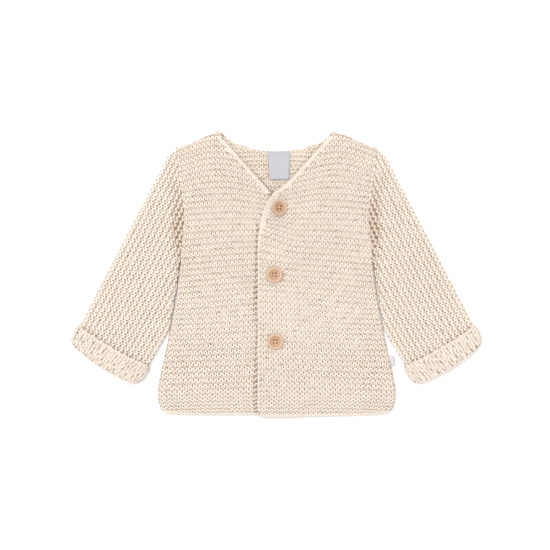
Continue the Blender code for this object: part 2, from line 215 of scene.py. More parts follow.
def addGroup(name, inputs, outputs):
    group = bpy.data.node_groups.new(name, "ShaderNodeTree")
    for label, kind, value in inputs:
        socket = group.interface.new_socket(name=label, in_out="INPUT", socket_type=kind)
        if value is not None:
            socket.default_value = value
    for label, kind in outputs:
        group.interface.new_socket(name=label, in_out="OUTPUT", socket_type=kind)
    group.nodes.new("NodeGroupInput")
    group.nodes.new("NodeGroupOutput")
    return group


def addNode(tree, kind, inputs=None, **settings):
    # inputs maps a socket's name or number to a value, or to another node's output socket
    node = tree.nodes.new(kind)
    for label, value in settings.items():
        setattr(node, label, value)
    for socket, value in (inputs or {}).items():
        if isinstance(value, bpy.types.NodeSocket):
            tree.links.new(value, node.inputs[socket])
        else:
            node.inputs[socket].default_value = value
    return node


def mathNode(tree, operation, first, second=0.0, third=0.0, clamp=False):
    node = addNode(tree, "ShaderNodeMath", {0: first, 1: second, 2: third}, operation=operation)
    node.use_clamp = clamp
    return node.outputs[0]


def mixColours(tree, share, first, second):
    # each colour is three numbers or another node's output socket
    ends = [c if isinstance(c, bpy.types.NodeSocket) else (*c, 1.0) for c in (first, second)]
    return addNode(tree, "ShaderNodeMix", {0: share, 6: ends[0], 7: ends[1]}, data_type="RGBA").outputs[2]


def setColour(tree, shader, colour, shade):
    scaled = addNode(tree, "ShaderNodeVectorMath", {0: colour, "Scale": shade}, operation="SCALE")
    tree.links.new(scaled.outputs[0], shader.inputs["Base Color"])


def setBump(tree, shader, height, distance, strength):
    values = {"Height": height, "Distance": distance * mm, "Strength": strength}
    tree.links.new(addNode(tree, "ShaderNodeBump", values).outputs[0], shader.inputs["Normal"])


def readAttribute(tree, label):
    return addNode(tree, "ShaderNodeAttribute", attribute_name=label)


def makeTwistGroup():
    # the plies of a yarn: Strand holds the length along it and the cosine and sine around it
    inputs = [
        ("Strand", "NodeSocketVector", None),
        ("Turn Length", "NodeSocketFloat", 3.2),
        ("Plies", "NodeSocketFloat", 3.0),
    ]
    group = addGroup("yarnTwist", inputs, [("Ply", "NodeSocketFloat")])
    source, target = group.nodes["Group Input"], group.nodes["Group Output"]
    parts = addNode(group, "ShaderNodeSeparateXYZ", {0: source.outputs["Strand"]})
    around = mathNode(group, "ARCTAN2", parts.outputs[2], parts.outputs[1])
    around = mathNode(group, "MULTIPLY", around, source.outputs["Plies"])
    along = mathNode(group, "DIVIDE", parts.outputs[0], source.outputs["Turn Length"])
    along = mathNode(group, "MULTIPLY", along, math.tau)
    along = mathNode(group, "MULTIPLY", along, source.outputs["Plies"])
    wave = mathNode(group, "SINE", mathNode(group, "ADD", around, along))
    wave = mathNode(group, "MULTIPLY_ADD", wave, 0.5, 0.5)
    group.links.new(mathNode(group, "SQRT", wave), target.inputs["Ply"])
    return group


def makeFibreGroup():
    # short fibres and the slow unevenness of dyed wool, both on object coordinates
    inputs = [
        ("Position", "NodeSocketVector", None),
        ("Fibre Size", "NodeSocketFloat", 0.35),
        ("Cloud Size", "NodeSocketFloat", 22.0),
    ]
    group = addGroup("woolFibre", inputs, [("Fibre", "NodeSocketFloat"), ("Cloud", "NodeSocketFloat")])
    source, target = group.nodes["Group Input"], group.nodes["Group Output"]
    fineScale = mathNode(group, "DIVIDE", 1000.0, source.outputs["Fibre Size"])
    fine = addNode(group, "ShaderNodeTexNoise", {"Vector": source.outputs["Position"], "Scale": fineScale,
                                                 "Detail": 3.0, "Roughness": 0.7, "Distortion": 0.6})
    slowScale = mathNode(group, "DIVIDE", 1000.0, source.outputs["Cloud Size"])
    slow = addNode(group, "ShaderNodeTexNoise", {"Vector": source.outputs["Position"], "Scale": slowScale,
                                                 "Detail": 2.0, "Roughness": 0.5})
    group.links.new(fine.outputs[0], target.inputs["Fibre"])
    group.links.new(slow.outputs[0], target.inputs["Cloud"])
    return group


yarnTwist = makeTwistGroup()
woolFibre = makeFibreGroup()

yarnLook = {
    "light": (0.833, 0.748, 0.666),
    # painted shade: deep and hiddenShade are the cream yarn darkened where it dives between the ridges
    "deep": (0.60, 0.495, 0.40),
    "hiddenShade": (0.30, 0.19, 0.11),
    "shadedGroove": 0.88,  # painted shade: brightness between the plies
    "cloud": 0.10,  # unevenness of the dye
    "fuzz": 0.35,  # the fibres' share in the relief
    "relief": 0.25,  # depth of the plies in millimetres
    "bump": 0.5,
    "finish": {"Roughness": 0.85, "Sheen Weight": 0.25, "Sheen Roughness": 0.4, "Specular IOR Level": 0.15},
}


def makeYarnMaterial(name, brightness=1.0, warmth=0.0):
    material, tree, shader = newMaterial(name)
    place = addNode(tree, "ShaderNodeTexCoord").outputs["Object"]
    depthShade = readAttribute(tree, "depthShade").outputs["Fac"]
    strand = readAttribute(tree, "strand").outputs["Vector"]
    ply = addNode(tree, "ShaderNodeGroup", {"Strand": strand}, node_tree=yarnTwist).outputs["Ply"]
    fibre = addNode(tree, "ShaderNodeGroup", {"Position": place}, node_tree=woolFibre)
    tint = (brightness, brightness, brightness * (1 - warmth))
    light, deep = ([c * share for c, share in zip(yarnLook[key], tint)] for key in ("light", "deep"))
    # painted shade: yarn is painted darker the lower it lies, and darker still where it lies deeper than a
    # stitch's own feet
    hiddenShade = mathNode(tree, "SUBTRACT", depthShade, 0.9, clamp=True)
    ramp = mixColours(tree, hiddenShade, mixColours(tree, depthShade, light, deep), yarnLook["hiddenShade"])
    shadedGroove = mathNode(tree, "MULTIPLY_ADD", ply, 1 - yarnLook["shadedGroove"], yarnLook["shadedGroove"])
    cloud = mathNode(tree, "MULTIPLY_ADD", fibre.outputs["Cloud"], yarnLook["cloud"],
                     1 - yarnLook["cloud"] / 2)
    setColour(tree, shader, ramp, mathNode(tree, "MULTIPLY", shadedGroove, cloud))
    height = mathNode(tree, "MULTIPLY_ADD", fibre.outputs["Fibre"], yarnLook["fuzz"], ply)
    setBump(tree, shader, height, yarnLook["relief"], yarnLook["bump"])
    setSockets(shader, yarnLook["finish"])
    return material


shadedGroundLook = {
    # painted shade: the inner loops are the cream yarn, painted dark brown for the shade between the stitches
    "colour": (0.40, 0.29, 0.20),
    "pitch": 2.9,
    "ripple": 0.45,  # how much paler the loops' crests are painted, a painted highlight
    "relief": 0.6,
    "bump": 0.7,
    "finish": {"Roughness": 0.9, "Specular IOR Level": 0.1},
}


def makeShadedGroundMaterial(name):
    # the inner loops that show between the stitches, as a soft two-way ripple, painted dark brown as their
    # shade
    material, tree, shader = newMaterial(name)
    place = addNode(tree, "ShaderNodeTexCoord").outputs["Object"]
    fibre = addNode(tree, "ShaderNodeGroup", {"Position": place}, node_tree=woolFibre)
    bands = {"Vector": place, "Scale": 1000 / shadedGroundLook["pitch"] / 6.28, "Distortion": 1.5, "Detail": 1.0}
    rows, wales = (addNode(tree, "ShaderNodeTexWave", bands, bands_direction=way) for way in "YX")
    ripple = mathNode(tree, "MULTIPLY", rows.outputs["Fac"], wales.outputs["Fac"])
    setColour(tree, shader, shadedGroundLook["colour"],
              mathNode(tree, "MULTIPLY_ADD", ripple, shadedGroundLook["ripple"], 0.8))
    height = mathNode(tree, "MULTIPLY_ADD", fibre.outputs["Fibre"], 0.3, ripple)
    setBump(tree, shader, height, shadedGroundLook["relief"], shadedGroundLook["bump"])
    setSockets(shader, shadedGroundLook["finish"])
    return material


woodLook = {
    "pale": (0.66, 0.475, 0.355),
    "tan": (0.55, 0.36, 0.235),
    "brown": (0.46, 0.24, 0.11),
    "dark": (0.20, 0.09, 0.04),
    "boreShade": (0.015, 0.008, 0.005),  # painted shade inside the holes
    "dish": 5.2,  # radius of the hollow, in millimetres
    "hole": 1.56,  # distance of a hole's middle from each of the button's two centre lines
    "grooves": ((5.4, 0.45, 0.75), (4.1, 0.3, 0.3), (6.7, 0.3, 0.3), (8.5, 0.5, 0.5)),  # radius, width, share; the outermost ring is painted shade on the rim's edge and side wall
    "ring": 0.85,  # between the marks of the turning tool, in millimetres
    "grain": (260.0, 2400.0, 900.0),  # fineness along, across and through the wood, per metre
    "relief": 0.12,
    "roughness": 0.42,
    "finish": {"Coat Weight": 0.15, "Coat Roughness": 0.35, "Specular IOR Level": 0.4},
}


def makeWoodMaterial(name, centre, turn, tilt):
    # turned wood: fine rings about the button's middle over a straight grain
    material, tree, shader = newMaterial(name)

    def vector(operation, first, second=(0.0, 0.0, 0.0), socket=0):
        node = addNode(tree, "ShaderNodeVectorMath", {0: first, 1: second}, operation=operation)
        return node.outputs[socket]

    place = addNode(tree, "ShaderNodeTexCoord").outputs["Object"]
    upright = {"Vector": vector("SUBTRACT", place, centre), "Angle": -tilt}
    middle = addNode(tree, "ShaderNodeVectorRotate", upright, rotation_type="Y_AXIS").outputs[0]
    flat = vector("MULTIPLY", middle, (1.0, 1.0, 0.0))
    away = vector("LENGTH", flat, socket="Value")
    rings = mathNode(tree, "SINE", mathNode(tree, "MULTIPLY", away, math.tau * 1000 / woodLook["ring"]))
    grainPlace = addNode(tree, "ShaderNodeMapping", {"Vector": middle, "Rotation": (0.0, 0.0, turn),
                                                     "Scale": woodLook["grain"]}).outputs[0]
    grain = addNode(tree, "ShaderNodeTexNoise", {"Vector": grainPlace, "Scale": 1.0, "Detail": 4.0,
                                                 "Roughness": 0.6}).outputs[0]
    cloud = addNode(tree, "ShaderNodeTexNoise", {"Vector": middle, "Scale": 160.0, "Detail": 2.0}).outputs[0]
    mix = mathNode(tree, "MULTIPLY_ADD", grain, 0.75, mathNode(tree, "MULTIPLY", cloud, 0.4))
    ramp = addNode(tree, "ShaderNodeValToRGB", {0: mix})
    ramp.color_ramp.elements[0].position, ramp.color_ramp.elements[1].position = 0.38, 0.76
    ramp.color_ramp.elements[0].color = (*woodLook["tan"], 1.0)
    ramp.color_ramp.elements[1].color = (*woodLook["pale"], 1.0)
    # the dish is browner than the rim, rings at the grooves are darker, the outermost as painted shade, and
    # the four holes are painted near black as painted shade
    inDish = mathNode(tree, "SUBTRACT", woodLook["dish"] * mm, away)
    dish = mathNode(tree, "DIVIDE", inDish, 0.5 * mm, clamp=True)
    colour = mixColours(tree, mathNode(tree, "MULTIPLY", dish, 0.75), ramp.outputs[0], woodLook["brown"])
    stain = 0.0
    for radius, width, share in woodLook["grooves"]:
        near = mathNode(tree, "DIVIDE", mathNode(tree, "SUBTRACT", away, radius * mm), width * mm)
        squared = mathNode(tree, "MULTIPLY", near, near)
        bell = mathNode(tree, "EXPONENT", mathNode(tree, "MULTIPLY", squared, -1.0))
        stain = mathNode(tree, "ADD", mathNode(tree, "MULTIPLY", bell, share), stain)
    colour = mixColours(tree, mathNode(tree, "MULTIPLY", stain, 1.0, clamp=True), colour, woodLook["dark"])
    hole = vector("DISTANCE", vector("ABSOLUTE", flat), (*[woodLook["hole"] * mm] * 2, 0.0), "Value")
    within = mathNode(tree, "DIVIDE", mathNode(tree, "SUBTRACT", 1.05 * mm, hole), 0.2 * mm, clamp=True)
    tree.links.new(mixColours(tree, within, colour, woodLook["boreShade"]), shader.inputs["Base Color"])
    setBump(tree, shader, mathNode(tree, "MULTIPLY_ADD", rings, 0.35, grain), woodLook["relief"], 0.6)
    rough = mathNode(tree, "MULTIPLY_ADD", grain, 0.25, woodLook["roughness"] - 0.1)
    tree.links.new(rough, shader.inputs["Roughness"])
    setSockets(shader, woodLook["finish"])
    return material


ribbonLook = {
    "cross": 0.05,  # how much the crossing threads differ in brightness
    "cloud": 0.14,
    "relief": 0.08,
    "bump": 0.8,
    "finish": {"Roughness": 0.55, "Sheen Weight": 0.2},
}


def makeRibbonMaterial(name, colour, thread):
    # plain weave of a satin ribbon, from the piece's own weave attribute in millimetres
    material, tree, shader = newMaterial(name)
    parts = addNode(tree, "ShaderNodeSeparateXYZ", {0: readAttribute(tree, "weave").outputs["Vector"]})
    place = addNode(tree, "ShaderNodeTexCoord").outputs["Object"]
    across, along = (mathNode(tree, "SINE", mathNode(tree, "MULTIPLY", parts.outputs[k], math.tau / thread))
                     for k in range(2))
    cross = mathNode(tree, "MULTIPLY", across, along)
    cloud = addNode(tree, "ShaderNodeTexNoise", {"Vector": place, "Scale": 180.0, "Detail": 3.0}).outputs[0]
    cloud = mathNode(tree, "MULTIPLY_ADD", cloud, ribbonLook["cloud"], 0.9)
    setColour(tree, shader, colour, mathNode(tree, "MULTIPLY_ADD", cross, ribbonLook["cross"], cloud))
    setBump(tree, shader, cross, ribbonLook["relief"], ribbonLook["bump"])
    setSockets(shader, ribbonLook["finish"])
    return material


yarnMaterial = makeYarnMaterial("creamYarn")
# painted light: the same cream yarn painted brighter and warmer, for the back's inner face at the neck
brightenedInsideMaterial = makeYarnMaterial("creamYarnInsidePaintedBrighter", brightness=1.08, warmth=0.03)
shadedGroundMaterial = makeShadedGroundMaterial("innerLoopsPaintedShade")
labelMaterial = makeRibbonMaterial("labelWeave", (0.46, 0.46, 0.50), 0.55)
tabMaterial = makeRibbonMaterial("tabWeave", (0.60, 0.60, 0.63), 0.6)
print("materials made")


# The cloth's ground is the inner layer of loops, a little inside the CAD solid's faces
cloth = {
    "inset": 1.3,  # how far the ground lies below the outer loops
    "share": 0.46,  # most of a wall's thickness that may be taken from each face
}
clothNodes = {  # flat size of the cloth, and its area where that is much less than the rectangle's
    "back": ((248.0, 294.0), None),
    "front_left": ((143.0, 296.0), None),
    "front_right": ((140.0, 294.0), None),
    "sleeve_left": ((220.0, 255.0), 33000.0),
    "sleeve_right": ((220.0, 255.0), 33000.0),
}


sleeve = {
    "corner": (213.4, -73.2),  # outer end of the wrist
    "lean": 27.0,  # how far the sleeve's outer edge leans out, in degrees
    "step": 2.5,
    "top": 236.0,
    "joined": 134.0,  # from here upwards its inner side is sewn to the body
    "pitch": 5.15,  # between ridges at the wrist
    "width": 5.4,  # of a stitch
    "shift": 0.44,  # of a stitch, from one ridge to the next
    "fold": -4.0,  # distance round the tube up to which the face lies on the surface
}


def sleeveFrame(x, y):
    # height above the wrist and distance in from the outer edge
    lean = math.radians(sleeve["lean"])
    dx, dy = sleeve["corner"][0] - x, y - sleeve["corner"][1]
    return dx * math.sin(lean) + dy * math.cos(lean), dx * math.cos(lean) - dy * math.sin(lean)


cornerDraw = {  # how the cuff's two sharp corners are drawn in under its yarn
    "low": 12.0,
    "high": 27.0,
    "outer": 2.5,
    "inner": 78.5,
    "ease": 2.0,
    "most": 2.0,
}


def drawCorner(place):
    t, d = sleeveFrame(abs(place.x) / mm, place.y / mm)
    if not cornerDraw["low"] < t < cornerDraw["high"]:
        return place
    sides = ((cornerDraw["outer"] - d) / cornerDraw["ease"], (d - cornerDraw["inner"]) / cornerDraw["ease"])
    draw = cornerDraw["most"] * (smooth(sides[0]) - smooth(sides[1]))
    lean = math.radians(sleeve["lean"])
    inwards = Vector((math.copysign(1.0, place.x) * math.cos(lean), math.sin(lean), 0.0))
    return place - inwards * float(draw) * mm


def makeGround(node):
    ground = copyNode(node, "_ground", 0.02)
    work = bmesh.new()
    work.from_mesh(ground.data)
    tree = BVHTree.FromBMesh(work)
    work.normal_update()
    moved = []
    for vertex in work.verts:
        inwards = -vertex.normal
        hit = tree.ray_cast(vertex.co + inwards * 0.05 * mm, inwards, 0.02)
        thick = (hit[3] or 0.0) / mm + 0.05
        place = vertex.co + inwards * min(cloth["inset"], cloth["share"] * thick) * mm
        moved.append(drawCorner(place) if node.startswith("sleeve") else place)
    for vertex, place in zip(work.verts, moved):
        vertex.co = place
    work.to_mesh(ground.data)
    work.free()
    ground.data.materials.append(shadedGroundMaterial)
    ground.data.shade_smooth()
    rideWith(ground)
    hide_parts(node)
    return ground


grounds = {node: makeGround(node) for node in clothNodes}
trees = {node: treeOf(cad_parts[node]) for node in clothNodes}
print("grounds made:", ", ".join(grounds))


# One garter stitch is the head of one loop over the foot of the next
stitch = {
    "yarn": 0.86,  # radius of the yarn
    "head": 1.22,  # half the width of an upward loop at its middle line
    "foot": 1.44,  # the same of the downward loop beside it
    "headLeg": 3.4,
    "footLeg": 3.3,
    "point": 1.5,  # height of a turn for its half width, so that it comes to a blunt point
    "footDrop": 0.22,  # how much lower the downward loops lie
    "crest": 1.3,  # how far the loops' turns reach beyond the ridge's middle
    "dive": 0.75,  # how deep the legs end
    "curve": 1.2,
    "pinch": 0.78,  # how much the legs draw together
    "dark": 1.1,  # how much darker than the downward loops the upward loops' legs are painted at their ends, as painted shade
    "wide": 5.0,  # width and height of the stitch that these sizes are for
    "high": 6.0,
}
link = {  # one loop of the chain that runs along an edge
    "yarn": 0.78,
    "head": 0.95,
    "headLeg": 4.2,
    "point": 1.0,
    "footDrop": 0.0,
    "crest": 0.0,
    "dive": 0.9,
    "curve": 2.5,
    "pinch": 0.55,
    "dark": 1.0,
    "wide": 3.4,
    "high": 4.6,
}


def modelLoop(shape, half, leg, sides, steps):
    # a ring of the yarn is drawn up a leg, round the head and down the other leg
    bend = shape["crest"] - half * shape["point"]
    bpy.ops.object.select_all(action="DESELECT")
    start = (-half * mm, (bend - leg) * mm, 0.0)
    bpy.ops.mesh.primitive_circle_add(vertices=sides, radius=shape["yarn"] * mm, location=start,
                                      rotation=(math.pi / 2, 0.0, 0.0))
    loop = bpy.context.object
    bpy.ops.object.transform_apply(location=True, rotation=True, scale=True)
    openMesh(loop)
    bpy.ops.mesh.extrude_edges_move(TRANSFORM_OT_translate={"value": (0.0, leg * mm, 0.0)})
    bpy.ops.mesh.spin(steps=steps, angle=math.pi, center=(0.0, bend * mm, 0.0), axis=(0.0, 0.0, 1.0))
    bpy.ops.mesh.extrude_edges_move(TRANSFORM_OT_translate={"value": (0.0, -leg * mm, 0.0)})
    closeMesh()
    rings = readPoints(loop.data).reshape(-1, sides, 3)
    bpy.data.objects.remove(loop)
    return rings


endQuads = {4: [(0, 1, 2, 3)], 6: [(0, 1, 2, 3), (0, 3, 4, 5)]}  # that close a yarn of 4 or 6 sides


def tubeFaces(rings):
    # faces round the yarn, and both of its ends closed
    count, sides = rings.shape[:2]
    faces = []
    for row in range(count - 1):
        for k in range(sides):
            nxt = (k + 1) % sides
            faces.append((row * sides + k, row * sides + nxt, (row + 1) * sides + nxt, (row + 1) * sides + k))
    first = rings[faces[0][0] // sides, [0, 1]]
    normal = np.cross(first[1] - first[0], rings[1, 0] - first[0])
    outward = first.mean(axis=0) - rings[0].mean(axis=0)
    last = (count - 1) * sides
    faces += [quad[::-1] for quad in endQuads[sides]]
    faces += [tuple(last + k for k in quad) for quad in endQuads[sides]]
    faces = np.array(faces)
    return faces if normal @ outward > 0 else faces[:, ::-1]


def shapeLoop(shape, half, leg, sides, steps, turned=False):
    rings = modelLoop(shape, half, leg, sides, steps)
    faces = tubeFaces(rings)
    middle = rings.mean(axis=1)
    offset = rings - middle[:, None]
    bend = shape["crest"] - half * shape["point"]
    middle[:, 1] += np.clip(middle[:, 1] - bend, 0.0, None) * (shape["point"] - 1.0)
    down = np.clip((shape["crest"] - middle[:, 1]) / (half * shape["point"] + leg), 0.0, 1.0)
    middle[:, 2] -= shape["dive"] * down ** shape["curve"] + (shape["footDrop"] if turned else 0.0)
    middle[:, 0] *= 1.0 - shape["pinch"] * np.clip((bend - middle[:, 1]) / leg, 0.0, 1.0)
    around = np.arange(sides) * math.tau / sides
    parts = (runAlong(middle)[:, None], np.cos(around)[None], np.sin(around)[None])
    strand = np.stack(np.broadcast_arrays(*parts), axis=-1)
    if turned:
        middle = middle * (-1, -1, 1) + (shape["wide"] / 2, 0, 0)
        offset = offset * (-1, -1, 1)
    centre = np.broadcast_to(middle[:, None], rings.shape)
    # painted shade: low is how far down its leg each ring lies, and paints it darker
    deepest = 1.0 if turned else shape["dark"]
    low = np.broadcast_to(down[:, None] * (1 + (deepest - 1) * down[:, None]), rings.shape[:2])
    return {
        "centre": centre.reshape(-1, 3),
        "offset": offset.reshape(-1, 3),
        "strand": strand.reshape(-1, 3),
        "low": low.reshape(-1),
        "faces": faces,
        "shape": shape,
    }


def joinLoops(first, second):
    both = {key: np.concatenate([first[key], second[key]]) for key in ("centre", "offset", "strand", "low")}
    both["faces"] = np.concatenate([first["faces"], second["faces"] + len(first["low"])])
    both["shape"] = first["shape"]
    return both


def makeStitch(sides, steps):
    head = shapeLoop(stitch, stitch["head"], stitch["headLeg"], sides, steps)
    foot = shapeLoop(stitch, stitch["foot"], stitch["footLeg"], sides, steps, True)
    return joinLoops(head, foot)


fineStitch = makeStitch(6, 4)
plainStitch = makeStitch(4, 3)
chainLink = shapeLoop(link, link["head"], link["headLeg"], 6, 4)
print("stitch modelled:", len(fineStitch["faces"]) * 2, "triangles,", len(plainStitch["faces"]) * 2, "plain")


# Heights of the ridges at one line up a front: height up the garment, distance to the next ridge
ridgePitch = ((-147.0, 3.75), (-128.0, 3.8), (-124.0, 5.6), (-95.0, 5.95), (-70.0, 5.5), (-45.0, 5.45),
              (-20.0, 5.85), (5.0, 6.1), (30.0, 6.3), (54.0, 6.4), (79.0, 6.5), (104.0, 6.1), (150.0, 6.0))
ridgeStart = 60.0  # how far across the garment that line is
# How much a ridge falls towards the side for each millimetre across
slopeAcross = (0.0, 30.0, 45.0, 60.0, 75.0, 95.0)
ridgeSlopes = (
    (-145.0, (0.00, 0.00, 0.005, 0.01, 0.02, 0.03)),
    (-120.0, (0.06, 0.03, 0.03, 0.03, 0.04, 0.05)),
    (-95.0, (0.06, 0.03, 0.03, 0.03, 0.03, 0.03)),
    (-70.0, (0.05, 0.05, 0.045, 0.04, 0.03, 0.02)),
    (-45.0, (0.05, 0.07, 0.075, 0.08, 0.06, 0.03)),
    (-20.0, (0.07, 0.08, 0.085, 0.09, 0.09, 0.09)),
    (5.0, (0.08, 0.07, 0.075, 0.08, 0.09, 0.10)),
    (30.0, (0.08, 0.05, 0.065, 0.08, 0.09, 0.10)),
    (55.0, (-0.05, -0.02, 0.01, 0.04, 0.07, 0.10)),
    (80.0, (-0.25, -0.20, -0.05, 0.06, 0.11, 0.12)),
    (104.0, (-0.30, -0.28, -0.20, -0.02, 0.20, 0.30)),
    (125.0, (-0.35, -0.35, -0.32, -0.10, 0.26, 0.38)),
    (150.0, (-0.35, -0.35, -0.32, -0.05, 0.30, 0.42)),
)
lapPull = {"slope": 0.34, "height": 42.0, "reach": 24.0, "from": 26.0}  # drag towards the top button


def slopeAt(across, height, lapped):
    levels = np.array([row[0] for row in ridgeSlopes])
    table = np.array([row[1] for row in ridgeSlopes])
    far = np.abs(across)
    column = np.array([np.interp(far, slopeAcross, row) for row in table])
    slope = np.interp(height, levels, column)
    if lapped:
        near = smooth((lapPull["from"] - across) / 16.0)
        level = np.exp(-((height - lapPull["height"]) / lapPull["reach"]) ** 2)
        slope = slope + near * lapPull["slope"] * level
    return slope


def ridgeLines(lapped, low=-30.0, high=126.0):
    # heights of every ridge at each millimetre across, followed outwards from one line
    starts = [-152.1]
    while starts[-1] < 172.0:
        starts.append(starts[-1] + np.interp(starts[-1], *zip(*ridgePitch)))
    across = np.arange(low, high + 0.5, 1.0)
    first = int(ridgeStart - low)
    lines = np.empty((len(starts), len(across)))
    lines[:, first] = starts
    for step, columns in ((1, range(first + 1, len(across))), (-1, range(first - 1, -1, -1))):
        for column in columns:
            before = lines[:, column - step]
            fall = slopeAt(across[column - step], before, lapped)
            lines[:, column] = before - fall * step
    return {"low": low, "lines": lines}


def sampleGrid(grid, u, v):
    u = np.clip(u, 0.0, grid.shape[0] - 1.001)
    v = np.clip(v, 0.0, grid.shape[1] - 1.001)
    i, j = u.astype(int), v.astype(int)
    a, b = u - i, v - j
    if grid.ndim == 3:
        a, b = a[..., None], b[..., None]
    return ((1 - a) * (1 - b) * grid[i, j] + a * (1 - b) * grid[i + 1, j]
            + (1 - a) * b * grid[i, j + 1] + a * b * grid[i + 1, j + 1])


def faceHeight(tree, x, y, fromAbove=True):
    # height of the upper or the lower face at one place, or None beside the piece
    start, way = (60.0, Vector((0, 0, -1))) if fromAbove else (-30.0, Vector((0, 0, 1)))
    hit = tree.ray_cast(Vector((x, y, start)), way)[0]
    return None if hit is None else hit.z


def fillHoles(grid):
    grid = grid.copy()
    while np.isnan(grid).any():
        padded = np.pad(grid, 1, constant_values=np.nan)
        near = np.stack([padded[:-2, 1:-1], padded[2:, 1:-1], padded[1:-1, :-2], padded[1:-1, 2:]])
        known = ~np.isnan(near)
        mean = np.where(known, near, 0).sum(axis=0) / np.maximum(known.sum(axis=0), 1)
        fresh = np.isnan(grid) & known.any(axis=0)
        grid[fresh] = mean[fresh]
    return grid


gridStep = 2.0


def heightField(node, fromAbove=True):
    low, high = (np.array(corner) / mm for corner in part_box(node))
    xs = np.arange(low[0] - 2, high[0] + 4, gridStep)
    ys = np.arange(low[1] - 2, high[1] + 4, gridStep)
    heights = np.array([[faceHeight(trees[node], x, y, fromAbove) for y in ys] for x in xs], dtype=float)
    return {"x": xs[0], "y": ys[0], "heights": fillHoles(heights)}


def heightAt(field, x, y):
    return sampleGrid(field["heights"], (x - field["x"]) / gridStep, (y - field["y"]) / gridStep)


def lastInside(isInside, near, far, rounds=9):
    # the last distance that is still inside, between one inside and one outside
    for _ in range(rounds):
        mid = (near + far) / 2
        near, far = (mid, far) if isInside(mid) else (near, mid)
    return near


def sideAt(node, heights):
    # half width of a front at the given heights
    away = -1 if node == "front_right" else 1
    return np.array([lastInside(lambda x: faceHeight(trees[node], away * x, y) is not None, 60.0, 140.0)
                     for y in heights])


def layStitches(name, kind, spots, place, material, flip=False):
    # spots: along, ridge, width, gain, yarn, lift, one value for each stitch
    count = len(spots["along"])
    many = lambda values: np.asarray(values)[:, None]
    centre, offset, high = kind["centre"], kind["offset"], kind["shape"]["high"]
    wide = many(spots["width"] * dice.normal(1.0, 0.04, count)) / kind["shape"]["wide"]
    slant = many(dice.normal(0, 0.07, count))
    along = many(spots["along"]) + centre[None, :, 0] * wide + centre[None, :, 1] * slant
    ridge = many(spots["ridge"]) + centre[None, :, 1] / high * many(dice.normal(1.0, 0.05, count))
    yarn = many(spots["yarn"] * dice.normal(1.0, 0.03, count))
    lift = centre[None, :, 2] * many(spots["gain"]) + many(spots["lift"] + dice.normal(0, 0.07, count))
    points = place(along, ridge, offset[None, :, 0] * yarn, offset[None, :, 1] * yarn,
                   lift + offset[None, :, 2] * yarn)
    points[..., 2] = np.maximum(points[..., 2], 0.02)  # pressed flat on the surface
    faces = kind["faces"][None] + (np.arange(count) * len(centre))[:, None, None]
    if flip:  # a mirrored or downward piece keeps its faces outwards
        faces = faces[..., ::-1]
    strand = np.broadcast_to(kind["strand"][None], (count, *kind["strand"].shape)).copy()
    strand[..., 0] += many(dice.uniform(0, 3, count))
    shade = many(spots.get("shade", np.zeros(count)))
    # painted shade: depthShade paints the low yarn darker; each stitch's shade adds painted shade, or lessens
    # it where negative
    depthShade = 0.85 * kind["low"][None] + shade * (0.25 + 1.5 * kind["low"][None])
    piece = meshPiece(name, points.reshape(-1, 3), faces.reshape(-1, faces.shape[-1]), material,
                      {"strand": strand.reshape(-1, 3), "depthShade": depthShade.reshape(-1)})
    print(name, count, "stitches,", len(piece.data.polygons) * 2, "triangles")
    return rideWith(piece)


def rimOf(node, centre, angles):
    # outline of a panel seen from above, found outwards from a point inside it
    points = []
    for angle in angles:
        at = lambda away: (centre[0] + away * math.cos(angle), centre[1] + away * math.sin(angle))
        isInside = lambda away: faceHeight(trees[node], *at(away)) is not None
        outside = next(away for away in np.arange(4.0, 220.0, 4.0) if not isInside(away))
        points.append(at(lastInside(isInside, outside - 4.0, outside)))
    return np.array(points)


def eased(points, width):
    kernel = np.ones(width) / width
    padded = np.pad(points, ((width // 2, width // 2), (0, 0)), mode="edge")
    return np.stack([np.convolve(padded[:, k], kernel, "valid") for k in range(points.shape[1])], axis=-1)


def rimShape(node, centre):
    # a panel's outline: its distance and outward direction by the angle about a point inside it
    angles = np.linspace(-math.pi, math.pi, 721)
    rim = rimOf(node, centre, angles)
    way = np.gradient(eased(rim, 7), axis=0)
    facing = unit(np.stack([way[:, 1], -way[:, 0]], axis=-1))
    reach = np.linalg.norm(rim - np.array(centre), axis=1)
    if node != "back":  # over the armhole and the lap the yarn reaches a little further
        armhole = (rim[:, 1] > 14.0) & (np.abs(rim[:, 0]) > 90.0)
        lap = (rim[:, 0] > -24.0) & (rim[:, 0] < -16.0)
        reach += np.where(armhole, 1.3, 0.0) + np.where(lap, 0.6, 0.0)
    return {"centre": centre, "angles": angles, "reach": reach, "facing": facing}


def beyondRim(rim, x, y):
    # how far a place lies beyond the outline, and the outline's outward direction there
    dx, dy = x - rim["centre"][0], y - rim["centre"][1]
    away = np.hypot(dx, dy)
    angle = np.arctan2(dy, dx)
    fx, fy = (np.interp(angle, rim["angles"], rim["facing"][:, k]) for k in range(2))
    reach = np.interp(angle, rim["angles"], rim["reach"])
    return (away - reach) * (dx * fx + dy * fy) / np.maximum(away, 1.0), fx, fy


rimBend = {  # how the yarn bends down over a panel's rim
    "from": 1.8,  # distance inside the rim where it starts
    "most": 7.0,
    "kept": 1.6,  # how far past that line it may reach
    "ease": 2.3,
    "fall": 0.55,
}


